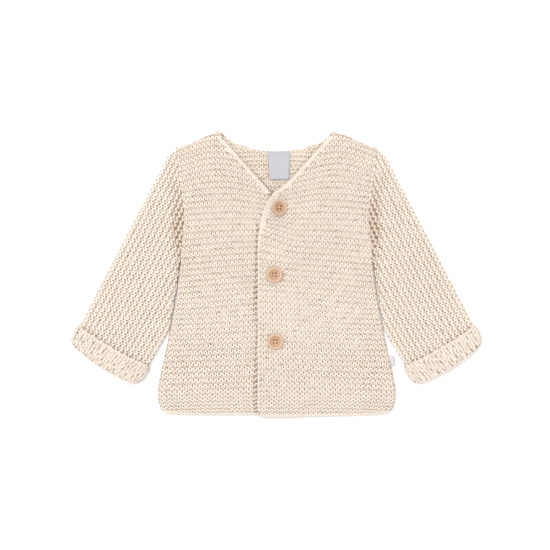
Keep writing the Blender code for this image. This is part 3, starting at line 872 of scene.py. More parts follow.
def flatPlace(lines, field, rim, mirror=1, below=False):
    # turns distance across, ridge number and height into a place on a flat panel
    def place(along, ridge, dx, dy, up):
        x = (along + dx) * mirror
        y = np.broadcast_to(sampleGrid(lines["lines"], ridge, along - lines["low"]) + dy, x.shape)
        over, fx, fy = beyondRim(rim, x, y)
        over = np.clip(over + rimBend["from"], 0.0, rimBend["most"])
        pull = over - rimBend["kept"] * np.tanh(over / rimBend["ease"])
        x, y = x - fx * pull, y - fy * pull
        up = up - rimBend["fall"] * over
        ground = heightAt(field, x, y)
        return np.stack([x, y, ground - up if below else ground + up], axis=-1)
    return place


def ridgeHeight(lines, ridge, x):
    return sampleGrid(lines["lines"], np.array([float(ridge)]), np.array([x - lines["low"]]))[0]


def panelSpots(lines, sideLine, edge, wales, mirror, rim, band):
    # one spot for each wale and ridge whose middle is on the panel, outside the band along its neck edge
    spots = []
    for ridge in range(1, len(lines["lines"]) - 1):
        for wale in range(wales + 1):
            height = lines["lines"][ridge, 60]  # a first guess, which three rounds make exact
            for _ in range(3):
                side = np.interp(height, *sideLine) + 0.7
                width = (side - edge) / wales
                x = edge + (wale + 0.5) * width
                height = ridgeHeight(lines, ridge, x)
            pitch = 0.5 * (ridgeHeight(lines, ridge + 1, x) - ridgeHeight(lines, ridge - 1, x))
            spots.append((x, ridge, width, pitch, height))
    spots = np.array(spots)
    x, y = spots[:, 0], spots[:, 4]
    within = -beyondRim(rim, x * mirror, y)[0]
    over = ((y > 100.0) & (x < 98.0)) | (y < -139.0)  # at shoulder and hem the yarn bends over the rim
    least = np.where(over, -1.5, 0.5)
    neck = (x < np.interp(y, (band["from"], 92.0, 147.0), (-12.0, 25.0, 62.0))) & (y > band["from"])
    least = np.where(neck & (y < 139.0), np.where(y < band["wideTo"], band["wide"], band["least"]), least)
    return spots[within > least]


def spotTable(spots):
    x, ridge, width, pitch, height = spots.T
    tight = np.clip(pitch / stitch["high"], 0.5, 1.3)
    # the yarn lies closer together in the upper body than at the hem
    yarn = 0.36 - 0.07 * smooth((-35.0 - height) / 70.0) + 0.2 * tight + 0.5 * width / stitch["wide"]
    return {
        "along": x + dice.normal(0, 0.14, len(x)),
        "ridge": ridge + dice.normal(0, 0.025, len(x)),
        "width": width,
        "gain": 0.55 + 0.45 * tight,
        "yarn": np.clip(yarn, 0.56, 1.12),
        "lift": -0.25 + 0.12 * steadyNoise(x, height, 40.0, 5),
        # painted shade is lessened on the low yarn towards the hem; the noise is tone that differs at random
        "shade": -0.14 * smooth((10.0 - height) / 60.0) + 0.07 * steadyNoise(x, height, 9.0, 8),
        "x": x,
        "y": height,
    }


def choose(table, keep):
    return {key: values[keep] for key, values in table.items()}


wales = 27
lapEdge, underEdge = -19.2, -16.0
levels = np.arange(-146.0, 129.0, 4.0)
lappedLines = ridgeLines(True)
underLines = ridgeLines(False)

# where the lapped front's edge lies: heights, then distances across
lapRun = ((-148.0, 42.0, 50.0, 60.0, 88.0, 147.0), (-19.2, -19.2, -17.0, -12.0, 2.0, 57.0))
hemTop = -117.5
centres = {"front_left": (45.0, -10.0), "front_right": (-45.0, -10.0), "back": (0.0, 0.0)}
rims = {node: rimShape(node, centre) for node, centre in centres.items()}

leftField = heightField("front_left")
leftSide = (levels, sideAt("front_left", levels))
neckBand = {"from": 45.0, "least": 2.9, "wide": 5.4, "wideTo": 84.0}  # flat knitted band along a neck edge
leftSpots = panelSpots(lappedLines, leftSide, lapEdge + 0.8, wales, 1, rims["front_left"], neckBand)
leftTable = spotTable(leftSpots)
leftPlace = flatPlace(lappedLines, leftField, rims["front_left"])
leftHem = leftTable["y"] < hemTop
leftYarn = [
    layStitches("front_left_stitches", fineStitch, choose(leftTable, ~leftHem), leftPlace, yarnMaterial),
    layStitches("front_left_hem_stitches", fineStitch, choose(leftTable, leftHem), leftPlace, yarnMaterial),
]

rightField = heightField("front_right")
rightSide = (levels, sideAt("front_right", levels))
rightSpots = panelSpots(underLines, rightSide, underEdge + 2.4, wales - 1, -1, rims["front_right"],
                        {**neckBand, "from": 60.0, "wideTo": 0.0})
rightTable = spotTable(rightSpots)
# the lapped front hides what lies under it, and a painted shadow darkens the stitches beside its edge
beside = np.interp(rightTable["y"], *lapRun) + rightTable["x"]
shown = beside > -9.0
rightTable["shade"] += 0.62 * smooth((4.0 - beside) / 2.6)
rightYarn = layStitches("front_right_stitches", fineStitch, choose(rightTable, shown),
                        flatPlace(underLines, rightField, rims["front_right"], -1), yarnMaterial, flip=True)

# the back: its inner face shows at the neck, its outer face lies on the surface
backUpper, backLower = heightField("back"), heightField("back", False)
backAcross = np.arange(-130.0, 131.0, 1.0)
backBow = 0.055 * (np.sqrt(backAcross ** 2 + 900.0) - 30.0)  # its ridges fall a little towards the sides
backRidges = underLines["lines"][:, int(ridgeStart - underLines["low"])]
backLines = {"low": -130.0, "lines": backRidges[:, None] - backBow[None] + 3.0}
neckLines = {"low": -130.0, "lines": np.arange(70.0, 152.0, 4.6)[:, None] - backBow[None]}


def backSpots(lines, lowest, width):
    spots = []
    middle = lines["lines"][:, len(backAcross) // 2]
    for ridge in range(1, len(lines["lines"]) - 1):
        pitch = 0.5 * (middle[ridge + 1] - middle[ridge - 1])
        for x in np.arange(-126.0, 127.0, width) + width * 0.5 * (ridge % 2):
            y = np.interp(x, backAcross, lines["lines"][ridge])
            if lowest(x) < y < 160.0:
                spots.append((x, ridge, width, pitch, y))
    spots = np.array(spots)
    return spots[beyondRim(rims["back"], spots[:, 0], spots[:, 4])[0] < -0.8]


neckSpots = backSpots(neckLines, lambda x: 84.0 + 0.75 * abs(x), 4.7)
neckTable = spotTable(neckSpots)
neckTable["yarn"] = neckTable["yarn"] * 0.72
neckTable["gain"] = neckTable["gain"] * 1.3
# painted shade: the neck's low yarn darker between the stitches
neckTable["shade"] = neckTable["shade"] + 0.08
neckYarn = layStitches("back_neck_stitches", fineStitch, neckTable,
                       flatPlace(neckLines, backUpper, rims["back"]), brightenedInsideMaterial)
underSpots = backSpots(backLines, lambda x: -170.0, 4.9)
underTable = spotTable(underSpots)
underTable["lift"] = np.full(len(underSpots), -0.95)
underTable["gain"] = underTable["gain"] * 0.7
underYarn = layStitches("back_under_stitches", plainStitch, underTable,
                        flatPlace(backLines, backLower, rims["back"], below=True), yarnMaterial, flip=True)


def evenPath(points, step):
    run = runAlong(points[:, :3])
    at = np.linspace(0.0, run[-1], max(2, int(run[-1] / step)))
    return np.stack([np.interp(at, run, points[:, k]) for k in range(points.shape[1])], axis=-1)


def pathPlace(path, pitch, facing):
    # a place along a path in space, with its sideways and outward directions
    step = np.linalg.norm(path[1] - path[0])
    way = unit(np.gradient(path, axis=0))
    outwards = unit(facing - (facing * way).sum(axis=1, keepdims=True) * way)
    sideways = np.cross(way, outwards)

    def place(along, ridge, dx, dy, up):
        at = np.broadcast_to(ridge, dx.shape) * pitch / step
        index = np.arange(len(path))
        parts = [np.stack([np.interp(at, index, part[:, k]) for k in range(3)], axis=-1)
                 for part in (path, sideways, way, outwards)]
        sides = np.broadcast_to(along, dx.shape) + dx
        return parts[0] + parts[1] * sides[..., None] + parts[2] * dy[..., None] + parts[3] * up[..., None]
    return place


def layChain(name, path, pitch, material, width=3.4, yarn=1.0, lift=0.0):
    # path: place and outward direction
    path = evenPath(path, 1.0)
    count = int((len(path) - 1) / pitch)
    spots = {
        "along": np.zeros(count),
        "ridge": np.arange(count) + 0.9,
        "width": np.full(count, width),
        "gain": np.ones(count),
        "yarn": np.full(count, yarn),
        "lift": np.full(count, lift),
    }
    return layStitches(name, chainLink, spots, pathPlace(path[:, :3], pitch, path[:, 3:]), material)


def rimPath(node, field, centre, corners, inset, tilt, level=None):
    # a panel's rim from one corner to another seen from its centre, a little inside the rim
    # tilt: how far the loops face outwards, in degrees; level: their height, or None for the cloth's
    angles = np.unwrap([math.atan2(y - centre[1], x - centre[0]) for x, y in corners])
    angles = np.concatenate([np.linspace(a, b, 120) for a, b in zip(angles, angles[1:])])
    rim = eased(evenPath(rimOf(node, centre, angles), 1.0), 5)
    way = unit(np.gradient(rim, axis=0))
    side = np.stack([-way[:, 1], way[:, 0]], axis=-1)
    outwards = side if ((rim - np.array(centre)) * side).sum() > 0 else -side
    rim = rim - outwards * inset
    height = heightAt(field, rim[:, 0], rim[:, 1]) if level is None else np.full(len(rim), level)
    lean = math.radians(tilt)
    return np.column_stack([rim, height, outwards * math.sin(lean), np.full(len(rim), math.cos(lean))])


chainLooks = {  # inset, tilt, level, pitch, width, yarn, lift
    "neckEdge": (1.0, 20, None, 2.9, 2.3, 0.92, -0.2),
    "neckBand": (3.0, 0, None, 2.7, 2.6, 0.98, -0.1),
    "buttonBand": (5.2, 0, None, 2.7, 2.6, 0.98, -0.2),
    "lapEdge": (0.6, 20, None, 2.4, 2.1, 0.85, -0.1),
    "hemEdge": (1.3, 25, None, 3.0, 2.6, 0.95, -0.2),
    "backNeck": (1.2, 40, None, 3.4, 2.6, 0.9, -0.5),
    "backHem": (1.5, 90, 1.5, 4.4, 2.8, 0.9, 0.0),
}
edgeRuns = {  # the kind of chain, then the corner points that it runs through
    "front_left_neck_edge": ("neckEdge", (-19.2, 28.0), (-17.0, 50.0), (56.5, 147.0)),
    "front_left_neck_band": ("neckBand", (-19.2, 42.0), (-12.0, 60.0), (57.0, 146.5)),
    "front_left_button_band": ("buttonBand", (-17.5, 46.0), (-12.0, 60.0), (2.0, 88.0)),
    "front_left_lap_edge": ("lapEdge", (-19.2, 44.0), (-19.2, -60.0), (-19.2, -144.0)),
    "front_left_hem_edge": ("hemEdge", (-18.7, -147.8), (60.0, -148.0), (114.0, -135.0)),
    "front_right_neck_edge": ("neckEdge", (-5.0, 83.0), (-30.0, 112.0), (-56.5, 147.0)),
    "front_right_neck_band": ("neckBand", (-7.0, 83.0), (-32.0, 112.0), (-57.0, 146.5)),
    "front_right_hem_edge": ("hemEdge", (-17.0, -145.6), (-60.0, -146.0), (-114.0, -135.0)),
    "back_neck_edge": ("backNeck", (53.0, 144.0), (0.0, 130.0), (-53.0, 144.0)),
    "back_hem_edge": ("backHem", (99.3, 17.0), (114.0, -60.0), (112.0, -142.0), (0.0, -146.0),
                      (-112.0, -142.0), (-114.0, -60.0), (-99.3, 17.0)),
}
edgeFields = {"front_left": leftField, "front_right": rightField, "back": backUpper}
edgeYarn = {node: [] for node in edgeFields}
for name, (look, *corners) in edgeRuns.items():
    inset, tilt, level, pitch, width, yarn, lift = chainLooks[look]
    node = next(node for node in edgeFields if name.startswith(node))
    path = rimPath(node, edgeFields[node], centres[node], corners, inset, tilt, level)
    material = brightenedInsideMaterial if name == "back_neck_edge" else yarnMaterial
    edgeYarn[node].append(layChain(name, path, pitch, material, width, yarn, lift))

# Sleeves: their ridges run from the armhole to the wrist.
# Lean of the ridges in degrees at three distances in from the outer edge, for heights above the wrist
leanAcross = (0.0, 40.0, 80.0)
ridgeLeans = ((0.0, (27.0, 29.0, 31.0)), (110.0, (27.0, 27.0, 26.5)), (210.0, (27.0, 24.0, 19.0)))
cuff = {
    "low": -7.5,
    "high": 16.5,
    "step": 1.5,
    "pitch": 3.4,
    "width": 3.3,
    "leans": (30.0, 46.0),  # of its ridges at the outer and the inner end
    "corners": (5.0, 9.0, 5.0, 3.0),  # radii: outer and inner at the wrist, outer and inner at the free edge
}


def sleevePoint(t, d):
    lean = math.radians(sleeve["lean"])
    x = sleeve["corner"][0] - t * math.sin(lean) - d * math.cos(lean)
    y = sleeve["corner"][1] + t * math.cos(lean) - d * math.sin(lean)
    return x, y


def hitHeight(tree, t, d, fromAbove=True):
    return faceHeight(tree, *sleevePoint(t, d), fromAbove)


def crossSection(tree, t):
    # outline of the flattened tube at one height: lower face, outer fold, upper face, as (d, z)
    isInside = lambda d: hitHeight(tree, t, d) is not None
    hits = [d for d in np.arange(-9.0, 112.0, 2.0) if isInside(d)]
    if not hits:
        return None
    outer, inner = (lastInside(isInside, hits[k], hits[k] + away, 8) for k, away in ((0, -2.0), (-1, 2.0)))
    fine = np.array([0.02, 0.12, 0.3, 0.6, 1.0, 1.6, 2.4, 3.5, 5.0])
    half = (inner - outer) / 2
    fine = fine[fine < half - 0.5]
    coarse = np.arange(7.0, inner - outer - 7.0, 2.5)
    ds = outer + np.concatenate([fine, coarse, (inner - outer) - fine[::-1]])
    faces = [(d, hitHeight(tree, t, d), hitHeight(tree, t, d, False)) for d in ds]
    faces = np.array([row for row in faces if None not in row])
    return faces[:, [0, 1]], faces[:, [0, 2]]


def cuffEdges(tree):
    # heights of the wrist's fold and of the cuff's free edge, by distance in from the outer edge
    found = []
    for d in np.arange(-2.0, 83.0, 4.0):
        heights = [(t, hitHeight(tree, t, d)) for t in np.arange(-9.0, 30.0, 0.5)]
        heights = [(t, z) for t, z in heights if z is not None]
        falls = [(z - after[1], t) for (t, z), after in zip(heights, heights[1:]) if t > 14.0]
        found.append((d, heights[0][0], max(falls)[1]))
    return np.array(found).T


def extended(grid, rows):
    # rows added below the first one, going straight on
    slope = (grid[4] - grid[0]) / 4
    return np.concatenate([grid[:1] - slope * k for k in range(rows, 0, -1)] + [grid])


def tubeField(tree, heights, reach, more=0, after=0):
    # the tube's outer face as a grid: height up the sleeve, distance round from the upper face
    across = np.arange(-reach, reach + 0.5, 1.0)
    grid = np.full((len(heights), len(across), 3), np.nan)
    limits = np.full((len(heights), 2), np.nan)
    for row, t in enumerate(heights):
        section = crossSection(tree, t)
        if section is None or len(section[0]) < 6:
            continue
        upper, lower = section
        if t > sleeve["joined"]:  # beside the body the upper face runs on and dips under the body's stitches
            end = upper[-1, 0]
            upper = upper[upper[:, 0] < end - 1.2]
            upper = np.vstack([upper, (end + 0.2, upper[-1, 1] - 0.3), (end + 6.0, upper[-1, 1] - 2.2)])
        line = np.vstack([lower[::-1], upper])
        run = runAlong(line)
        middle = len(lower) + len(upper) // 2
        q = run - run[middle] + line[middle, 0]
        x, y = sleevePoint(t, np.interp(across, q, line[:, 0]))
        grid[row] = np.stack([x, y, np.interp(across, q, line[:, 1])], axis=-1)
        limits[row] = q[0], q[-2 if t > sleeve["joined"] else -1]
    known = ~np.isnan(limits[:, 0])
    rows = np.arange(len(heights))
    for values in (limits, grid.reshape(len(heights), -1)):
        for column in range(values.shape[1]):
            values[:, column] = np.interp(rows, rows[known], values[known, column])
    step = heights[1] - heights[0]
    grid, limits = extended(grid, more), extended(limits, more)
    grid = extended(grid[::-1], after)[::-1]
    limits = np.concatenate([limits, np.repeat(limits[-1:], after, 0)])
    alongWay = np.gradient(grid, axis=0)
    acrossWay = np.gradient(grid, axis=1)
    # beyond the faces the grid stands still, so the way across is kept there
    last = len(across) - 1
    steps = [(k, k - 1) for k in range(1, last + 1)] + [(k, k + 1) for k in range(last - 1, -1, -1)]
    for column, before in steps:
        still = np.linalg.norm(acrossWay[:, column], axis=1) < 0.2
        acrossWay[still, column] = acrossWay[still, before]
    alongWay, acrossWay = unit(alongWay), unit(acrossWay)
    return {"t": heights[0] - more * step, "step": step, "reach": reach, "grid": grid, "alongWay": alongWay,
            "acrossWay": acrossWay, "outwards": unit(np.cross(alongWay, acrossWay)), "limits": limits}


def rowHeights(field):
    return field["t"] + field["step"] * np.arange(len(field["grid"]))


def tubePlace(field, lines, mirror):
    def place(along, ridge, dx, dy, up):
        u = (along - field["t"]) / field["step"]
        q = sampleGrid(lines, ridge, u)
        v = q + field["reach"]
        at = sampleGrid(field["grid"], u, v)
        a, b, c = (sampleGrid(field[key], u, v) for key in ("alongWay", "acrossWay", "outwards"))
        points = at + a * dx[..., None] + b * dy[..., None] + c * up[..., None]
        return points * (mirror, 1, 1)
    return place


def sleeveLines(field):
    # distance round the tube of every ridge at each height, followed upwards from the wrist
    heights = rowHeights(field)
    starts = np.arange(-24, 24) * sleeve["pitch"] + 2.4
    lines = np.empty((len(starts), len(heights)))
    lines[:, 0] = starts
    levels = [row[0] for row in ridgeLeans]
    for k in range(1, len(heights)):
        leans = [np.interp(heights[k], levels, [row[1][j] for row in ridgeLeans]) for j in range(3)]
        lean = np.interp(np.abs(lines[:, k - 1]), leanAcross, leans)
        drift = np.tan(np.radians(lean - sleeve["lean"])) * field["step"]
        lines[:, k] = lines[:, k - 1] + np.sign(lines[:, k - 1]) * drift
    return lines


def inFrom(q):
    # distance in from the outer edge for a distance round the tube
    return np.where(q > sleeve["fold"], q, -q - 6.0)


def tubeSpots(field, lines, span, width, keep):
    # a row for each stitch: height, ridge, width, pitch, distance round, and what keep returns, or no row
    # when that is None; the stitches of each ridge are shifted against those of the last
    rows = []
    heights = rowHeights(field)
    for ridge in range(1, len(lines) - 1):
        for t in span - (sleeve["shift"] * ridge * width) % width:
            u = (t - field["t"]) / field["step"]
            nearer, q, farther = (np.interp(u, np.arange(len(heights)), lines[ridge + k]) for k in (-1, 0, 1))
            lowest, highest = (np.interp(t, heights, field["limits"][:, k]) for k in range(2))
            kept = keep(t, q, lowest, highest)
            if kept:
                rows.append((t, ridge, width, (farther - nearer) / 2, q, *kept))
    return np.array(rows)


def layTube(name, rows, makeTable, place, flip):
    # fine stitches on the visible face, plain ones on the face that lies on the surface
    upper = rows[:, 4] > sleeve["fold"]
    faces = (("_stitches", fineStitch, rows[upper]), ("_under_stitches", plainStitch, rows[~upper]))
    return [layStitches(name + ending, kind, makeTable(part), place, yarnMaterial, flip)
            for ending, kind, part in faces]


def sleeveSpots(field, lines):
    def keep(t, q, lowest, highest):
        beyond = 2.6 if t > sleeve["joined"] else -0.4
        toCuff = t - np.interp(inFrom(q), cuffLine[0], cuffLine[2])
        shows = lowest + 1.0 < q < highest + beyond and toCuff >= -3.4  # the cuff hides the rest
        return (highest - q, toCuff) if shows else None
    width = sleeve["width"]
    return tubeSpots(field, lines, np.arange(12.0, sleeve["top"], width) + width, width, keep)


armGroove = {  # beside the body the sleeve sinks into a groove, by height up the sleeve; the stitches there also get painted shade
    "heights": (50.0, 80.0, 132.0, 150.0),
    "widths": (3.0, 5.0, 10.0, 16.0),
    "levels": (60.0, 90.0, 132.0, 165.0, 178.0, 190.0, 208.0),
    "strengths": (0.2, 0.7, 1.0, 1.0, 0.75, 0.4, 0.05),
}


def sleeveTable(rows):
    t, ridge, width, pitch, q, toBody, toCuff = rows.T
    tight = np.clip(pitch / stitch["high"], 0.5, 1.3)
    shadedGroove = np.interp(t, armGroove["heights"], armGroove["widths"])
    strength = np.interp(t, armGroove["levels"], armGroove["strengths"])
    sunk = smooth((shadedGroove - toBody) / 4.0) * strength * (q > 0)
    return {
        "along": t + dice.normal(0, 0.16, len(t)),
        "ridge": ridge + dice.normal(0, 0.03, len(t)),
        "width": width,
        "gain": (0.6 + 0.4 * tight) * (1 + 0.6 * sunk),
        "yarn": np.clip(0.81 + 0.2 * tight + 0.25 * width / stitch["wide"], 0.6, 1.25) * (1 - 0.07 * sunk),
        "lift": -0.3 - 0.3 * sunk - 0.65 * smooth((-q - 1.0) / 5.0),
        # painted shade in the groove beside the body, and a painted shadow beside the cuff's free edge
        "shade": 0.85 * sunk + 0.35 * smooth((3.0 - toCuff) / 2.0),
    }


cuffLine = cuffEdges(trees["sleeve_left"])
sleeveHeights = np.arange(26.0, sleeve["top"] + 4.0, sleeve["step"])
sleeveTube = tubeField(trees["sleeve_left"], sleeveHeights, 104.0, more=5)
sleeveRidges = sleeveLines(sleeveTube)
sleeveRows = sleeveSpots(sleeveTube, sleeveRidges)
sleeveYarn = {}
for name, mirror in (("left", 1), ("right", -1)):
    place = tubePlace(sleeveTube, sleeveRidges, mirror)
    sleeveYarn["sleeve_" + name] = layTube("sleeve_" + name, sleeveRows, sleeveTable, place, mirror < 0)


def cuffLines(field):
    starts = np.arange(-32, 32) * cuff["pitch"] + 2.0
    share = np.clip(np.abs(starts) / 78.0, 0, 1)
    lean = cuff["leans"][0] + (cuff["leans"][1] - cuff["leans"][0]) * share
    drift = np.tan(np.radians(lean - sleeve["lean"])) * np.sign(starts)
    return starts[:, None] + drift[:, None] * (rowHeights(field) - 10.0)[None]


def cuffSpots(field, lines):
    def keep(t, q, lowest, highest):
        fold, edge = (np.interp(inFrom(q), cuffLine[0], row) for row in cuffLine[1:])
        onFace = lowest + 0.6 < q < highest - 0.6 and fold + 1.2 < t < edge - 1.4
        return (90.0, 90.0) if onFace else None  # far from the body and from the cuff's own edge
    return tubeSpots(field, lines, np.arange(-6.0, 26.0, cuff["width"]), cuff["width"], keep)


def cuffTable(rows):
    table = sleeveTable(rows)
    table["along"] += dice.normal(0, 0.35, len(rows))
    table["ridge"] += dice.normal(0, 0.14, len(rows))
    table["gain"] = table["gain"] * 0.7
    # a little more painted shade on the cuff's low yarn
    table["shade"] = table["shade"] + 0.04
    table["yarn"] = table["yarn"] * 0.88
    table["lift"] = -0.35 - 0.6 * smooth((-rows[:, 4] - 1.0) / 5.0)
    return table


def cuffEnds(tree):
    # how far in from the sleeve's outer edge the cuff starts and ends, by height
    found = []
    for t in np.arange(-4.0, 22.0, 2.0):
        reach = [d for d in np.arange(-9.0, 112.0, 0.5) if hitHeight(tree, t, d) is not None]
        if reach:
            found.append((t, reach[0], reach[-1]))
    return np.array(found).T


def roundCuff(piece):
    # draws the four corners of the cuff in to soft rounds
    points = readPoints(piece.data)
    side = np.where(points[:, 0] < 0, -1, 1)
    t, d = sleeveFrame(points[:, 0] * side, points[:, 1])
    outer, inner = (np.interp(t, cuffLimits[0], row) for row in cuffLimits[1:])
    fold, edge = (np.interp(d, cuffLine[0], row) for row in cuffLine[1:])
    moveT, moveD = np.zeros(len(t)), np.zeros(len(t))
    cornerPlaces = [(inT, inD) for inT in (t - fold, edge - t) for inD in (d - outer, inner - d)]
    for k, (radius, (inT, inD)) in enumerate(zip(cuff["corners"], cornerPlaces)):
        a, b = np.clip(radius - inT, 0, None), np.clip(radius - inD, 0, None)
        away = np.maximum(np.hypot(a, b), 1e-6)
        share = np.where(t < edge + 1.5, 1 - np.maximum(a, b) / away, 0.0)
        moveT += a * share * (1 if k < 2 else -1)
        moveD += b * share * (1 if k % 2 == 0 else -1)
    x, y = sleevePoint(t + moveT, d + moveD)
    points[:, 0], points[:, 1] = x * side, y
    piece.data.vertices.foreach_set("co", (points * mm).ravel())
    piece.data.update()


def cuffRing(tree, line, inset, drop, ups, under):
    # a path round the cuff at one of its edges; drop: how far inside its faces; ups: which way the loops face
    rows = []
    lean = math.radians(sleeve["lean"])
    axis = np.array([math.sin(lean), -math.cos(lean)]) * (1 if inset > 0 else -1)
    for below in (False, True):
        for d in np.arange(0.0, 81.0, 2.0)[::-1 if below else 1]:
            t = np.interp(d, cuffLine[0], line) + inset
            into = 1.4 if inset > 0 else -1.0
            z = hitHeight(tree, t + into, d, not below)
            z = z + drop if below else z - drop
            rows.append((*sleevePoint(t, d), z, *axis, -ups if below else ups))
    rows = np.array(rows)
    if not under:
        rows = rows[:len(rows) // 2]
        ends = [rows[:1] - (0, 0, 4.5, 0, 0, 0), rows[-1:] - (0, 0, 4.5, 0, 0, 0)]
        return np.concatenate([ends[0], rows, ends[1]])
    half = len(rows) * 3 // 4
    return np.concatenate([rows[half:], rows[:half + 1]])


def mirrored(path):
    return path * (-1, 1, 1, -1, 1, 1)


cuffTube = tubeField(trees["sleeve_left"], np.arange(cuff["low"], cuff["high"], cuff["step"]), 104.0, after=4)
cuffRidges = cuffLines(cuffTube)
cuffRows = cuffSpots(cuffTube, cuffRidges)
cuffLimits = cuffEnds(trees["sleeve_left"])
foldRing = cuffRing(trees["sleeve_left"], cuffLine[1], 0.9, 1.7, 0.35, True)
freeRing = cuffRing(trees["sleeve_left"], cuffLine[2], -0.8, 0.1, 2.0, False)
for name, mirror in (("left", 1), ("right", -1)):
    place = tubePlace(cuffTube, cuffRidges, mirror)
    turn = mirrored if mirror < 0 else np.array
    cuffYarn = [
        *layTube("cuff_" + name, cuffRows, cuffTable, place, mirror < 0),
        layChain(f"cuff_{name}_fold", turn(foldRing), 4.4, yarnMaterial, 4.0, 1.05),
        layChain(f"cuff_{name}_free_edge", turn(freeRing), 3.0, yarnMaterial, 2.9, 0.95),
    ]
    for piece in (grounds["sleeve_" + name], *cuffYarn):
        roundCuff(piece)
    sleeveYarn["sleeve_" + name] += cuffYarn

print("sleeves and cuffs laid")


# Turned wooden buttons, carried over from the CAD with their faces merged and smoothed
buttonTable = {  # turn of the grain, tilt in degrees
    "button_top": (0.5, 30.0),
    "button_middle": (1.3, 1.5),
    "button_bottom": (2.2, -1.0),
}


def makeButton(node):
    turn, tilt = buttonTable[node]
    centre = sum((Vector(corner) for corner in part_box(node)), Vector()) / 2
    button = copyNode(node, "_turned", 0.01)
    bpy.ops.object.shade_smooth_by_angle(angle=math.radians(38))
    button.data.materials.append(makeWoodMaterial(node + "Wood", centre, turn, math.radians(tilt)))
    rideWith(button)
    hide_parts(node)


for node in buttonTable:
    makeButton(node)

# the top button stands on a shank of yarn, which also shows in the middle of its face
low, high = (Vector(corner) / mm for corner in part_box("button_top"))
shank = [((low + high) / 2 + Vector((x, 0.0, z))) for x, z in ((-1.6, low.z - high.z + 3.4), (-0.6, -1.2))]
shankPath = np.array([(*shank[0], 0.0, -1.0, 0.0), (*shank[1], 0.0, -1.0, 0.0)])
layChain("button_top_shank", shankPath, 1.6, yarnMaterial, 1.8, 0.8)
print("buttons made")


# Ribbons: the neck label and the folded tab in the side seam, both bare
label = {
    "middle": 2.5,
    "top": 127.6,
    "length": 28.6,
    "topWidth": 22.8,
    "endWidth": 19.8,
    "base": 3.9,  # height of its middle layer over the surface
    "curl": 0.9,  # how far the loose end lifts
    "wall": 0.45,
    "fold": 1.6,  # length rolled under at the top
    "roll": 0.42,  # radius that it is rolled about
    "grid": (22, 30),
}
tab = {
    "low": -94.6,
    "high": -84.6,
    "inner": 113.2,
    "outer": 122.3,
    "base": 2.3,
    "gap": 0.5,  # half the space between the two layers
    "wall": 0.4,
    "grid": (26, 10),
}


def ribbonPiece(name, sizes, place, material):
    # a flat ribbon modelled as a grid in millimetres, then shaped by place and given its thickness
    columns, rows = sizes["grid"]
    bpy.ops.object.select_all(action="DESELECT")
    bpy.ops.mesh.primitive_grid_add(x_subdivisions=columns, y_subdivisions=rows, size=2.0 * mm)
    ribbon = bpy.context.object
    ribbon.name = ribbon.data.name = name
    flat = readPoints(ribbon.data)
    points, weave = place(flat[:, 0], flat[:, 1])
    ribbon.data.vertices.foreach_set("co", (points * mm).ravel())
    layer = ribbon.data.attributes.new("weave", "FLOAT_VECTOR", "POINT")
    layer.data.foreach_set("vector", weave.ravel())
    openMesh(ribbon)
    bpy.ops.mesh.normals_make_consistent(inside=False)
    closeMesh()
    thick = ribbon.modifiers.new("thickness", "SOLIDIFY")
    thick.thickness, thick.offset, thick.use_even_offset = sizes["wall"] * mm, 0.0, True
    bpy.ops.object.modifier_apply(modifier=thick.name)
    edge = ribbon.modifiers.new("softEdge", "BEVEL")
    edge.width, edge.segments, edge.limit_method, edge.angle_limit = 0.12 * mm, 2, "ANGLE", math.radians(50)
    bpy.ops.object.modifier_apply(modifier=edge.name)
    ribbon.data.shade_smooth()
    ribbon.data.materials.append(material)
    return rideWith(ribbon)


def labelPlace(u, v):
    # u across and v up, both from -1 to 1
    down = (1 - v) / 2 * (label["length"] + label["fold"]) - label["fold"]
    half = np.interp(down, (0.0, label["length"]), (label["topWidth"] / 2, label["endWidth"] / 2))
    x = label["middle"] + u * half + 0.12 * np.sin(down * 0.5)
    over = np.clip(-down / label["fold"], 0, 1) * math.pi * 0.9
    roll = label["roll"]
    y = np.where(down < 0, label["top"] + roll * np.sin(over), label["top"] - np.clip(down, 0, None))
    z = np.where(down < 0, label["base"] - roll * (1 - np.cos(over)), label["base"])
    loose = np.clip(down / label["length"], 0, 1)
    z = z + label["curl"] * loose ** 2 + 0.16 * np.sin(x * 0.42 + 0.7) * loose + 0.10 * np.sin(down * 0.55)
    z = z + 0.25 * loose * u ** 2
    return np.stack([x, y, z], axis=-1), np.stack([u * half, down, 0 * u], axis=-1)


def tabPlace(u, v):
    # the ribbon runs out from the seam, round the fold and back beneath itself
    reach = tab["outer"] - tab["inner"] - tab["gap"]
    total = 2 * reach + math.pi * tab["gap"]
    run = (u + 1) / 2 * total
    angle = np.clip((run - reach) / tab["gap"], 0, math.pi)
    back = np.clip(run - reach - math.pi * tab["gap"], 0, None)
    x = tab["inner"] + np.minimum(run, reach) + tab["gap"] * np.sin(angle) - back
    z = tab["base"] + tab["gap"] * np.cos(angle)
    share = (x - tab["inner"]) / (tab["outer"] - tab["inner"])
    middle, half = (tab["low"] + tab["high"]) / 2, (tab["high"] - tab["low"]) / 2
    y = middle + v * half - 0.5 * share + 0.15 * np.sin(v * 4.0) * share
    x = x + (0.4 - 0.4 * v) * share
    z = z + 0.25 * np.sin(v * 2.2) * share
    return np.stack([x, y, z], axis=-1), np.stack([run, v * half, 0 * v], axis=-1)


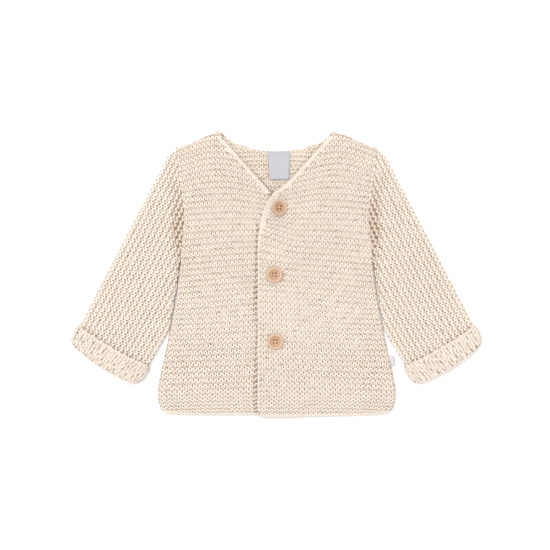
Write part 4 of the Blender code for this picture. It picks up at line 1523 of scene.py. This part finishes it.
labelPiece = ribbonPiece("neck_label_ribbon", label, labelPlace, labelMaterial)
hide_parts("neck_label")
tabPiece = ribbonPiece("side_tab_ribbon", tab, tabPlace, tabMaterial)
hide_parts("side_tab")


def layThreads(name, ends, radius, sides, material):
    # short straight stitches of sewing thread that dip at both ends: ends holds start and stop in millimetres
    steps = np.linspace(0, 1, 5)
    around = np.arange(sides) * math.tau / sides
    points, faces, strands = [], [], []
    for start, stop in np.array(ends):
        way = stop - start
        length = np.linalg.norm(way)
        side = np.cross(way / length, (0.0, 0.0, 1.0))
        base = len(points) * sides
        for k, share in enumerate(steps):
            middle = start + way * share + (0.0, 0.0, radius * (2.2 * math.sin(math.pi * share) - 1.0))
            points.append([middle + radius * (side * math.cos(a) + (0.0, 0.0, math.sin(a))) for a in around])
            strands.append([(share * length, math.cos(a), math.sin(a)) for a in around])
            if k:
                low = base + (k - 1) * sides
                faces += [(low + j, low + sides + j, low + sides + (j + 1) % sides, low + (j + 1) % sides)
                          for j in range(sides)]
        last = base + 4 * sides
        faces += [tuple(base + k for k in quad) for quad in endQuads[sides]]
        faces += [tuple(last + k for k in quad[::-1]) for quad in endQuads[sides]]
    points, strands = np.array(points).reshape(-1, 3), np.array(strands).reshape(-1, 3)
    piece = meshPiece(name, points, faces, material, {"strand": strands, "depthShade": np.zeros(len(points))})
    return rideWith(piece)


def labelStitches():
    # a row along the top, where the label is sewn to the back
    y, z = label["top"] - 0.9, label["base"] + 0.28
    return [((x, y, z), (x + 1.6, y, z)) for x in label["middle"] + np.arange(-10.4, 9.4, 2.4)]


def buttonStitch():
    # one strand across the top button from a hole to its middle
    tree = treeOf(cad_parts["button_top"])
    return [[(x, y, faceHeight(tree, x, y) + 0.35) for x, y in ((1.6, 70.7), (3.1, 69.1))]]


threadMaterial = makeYarnMaterial("paleThread", brightness=0.8)
labelThread = layThreads("neck_label_thread", labelStitches(), 0.17, 4, threadMaterial)
layThreads("button_top_thread", buttonStitch(), 0.45, 6, yarnMaterial)
print("label and tab made")
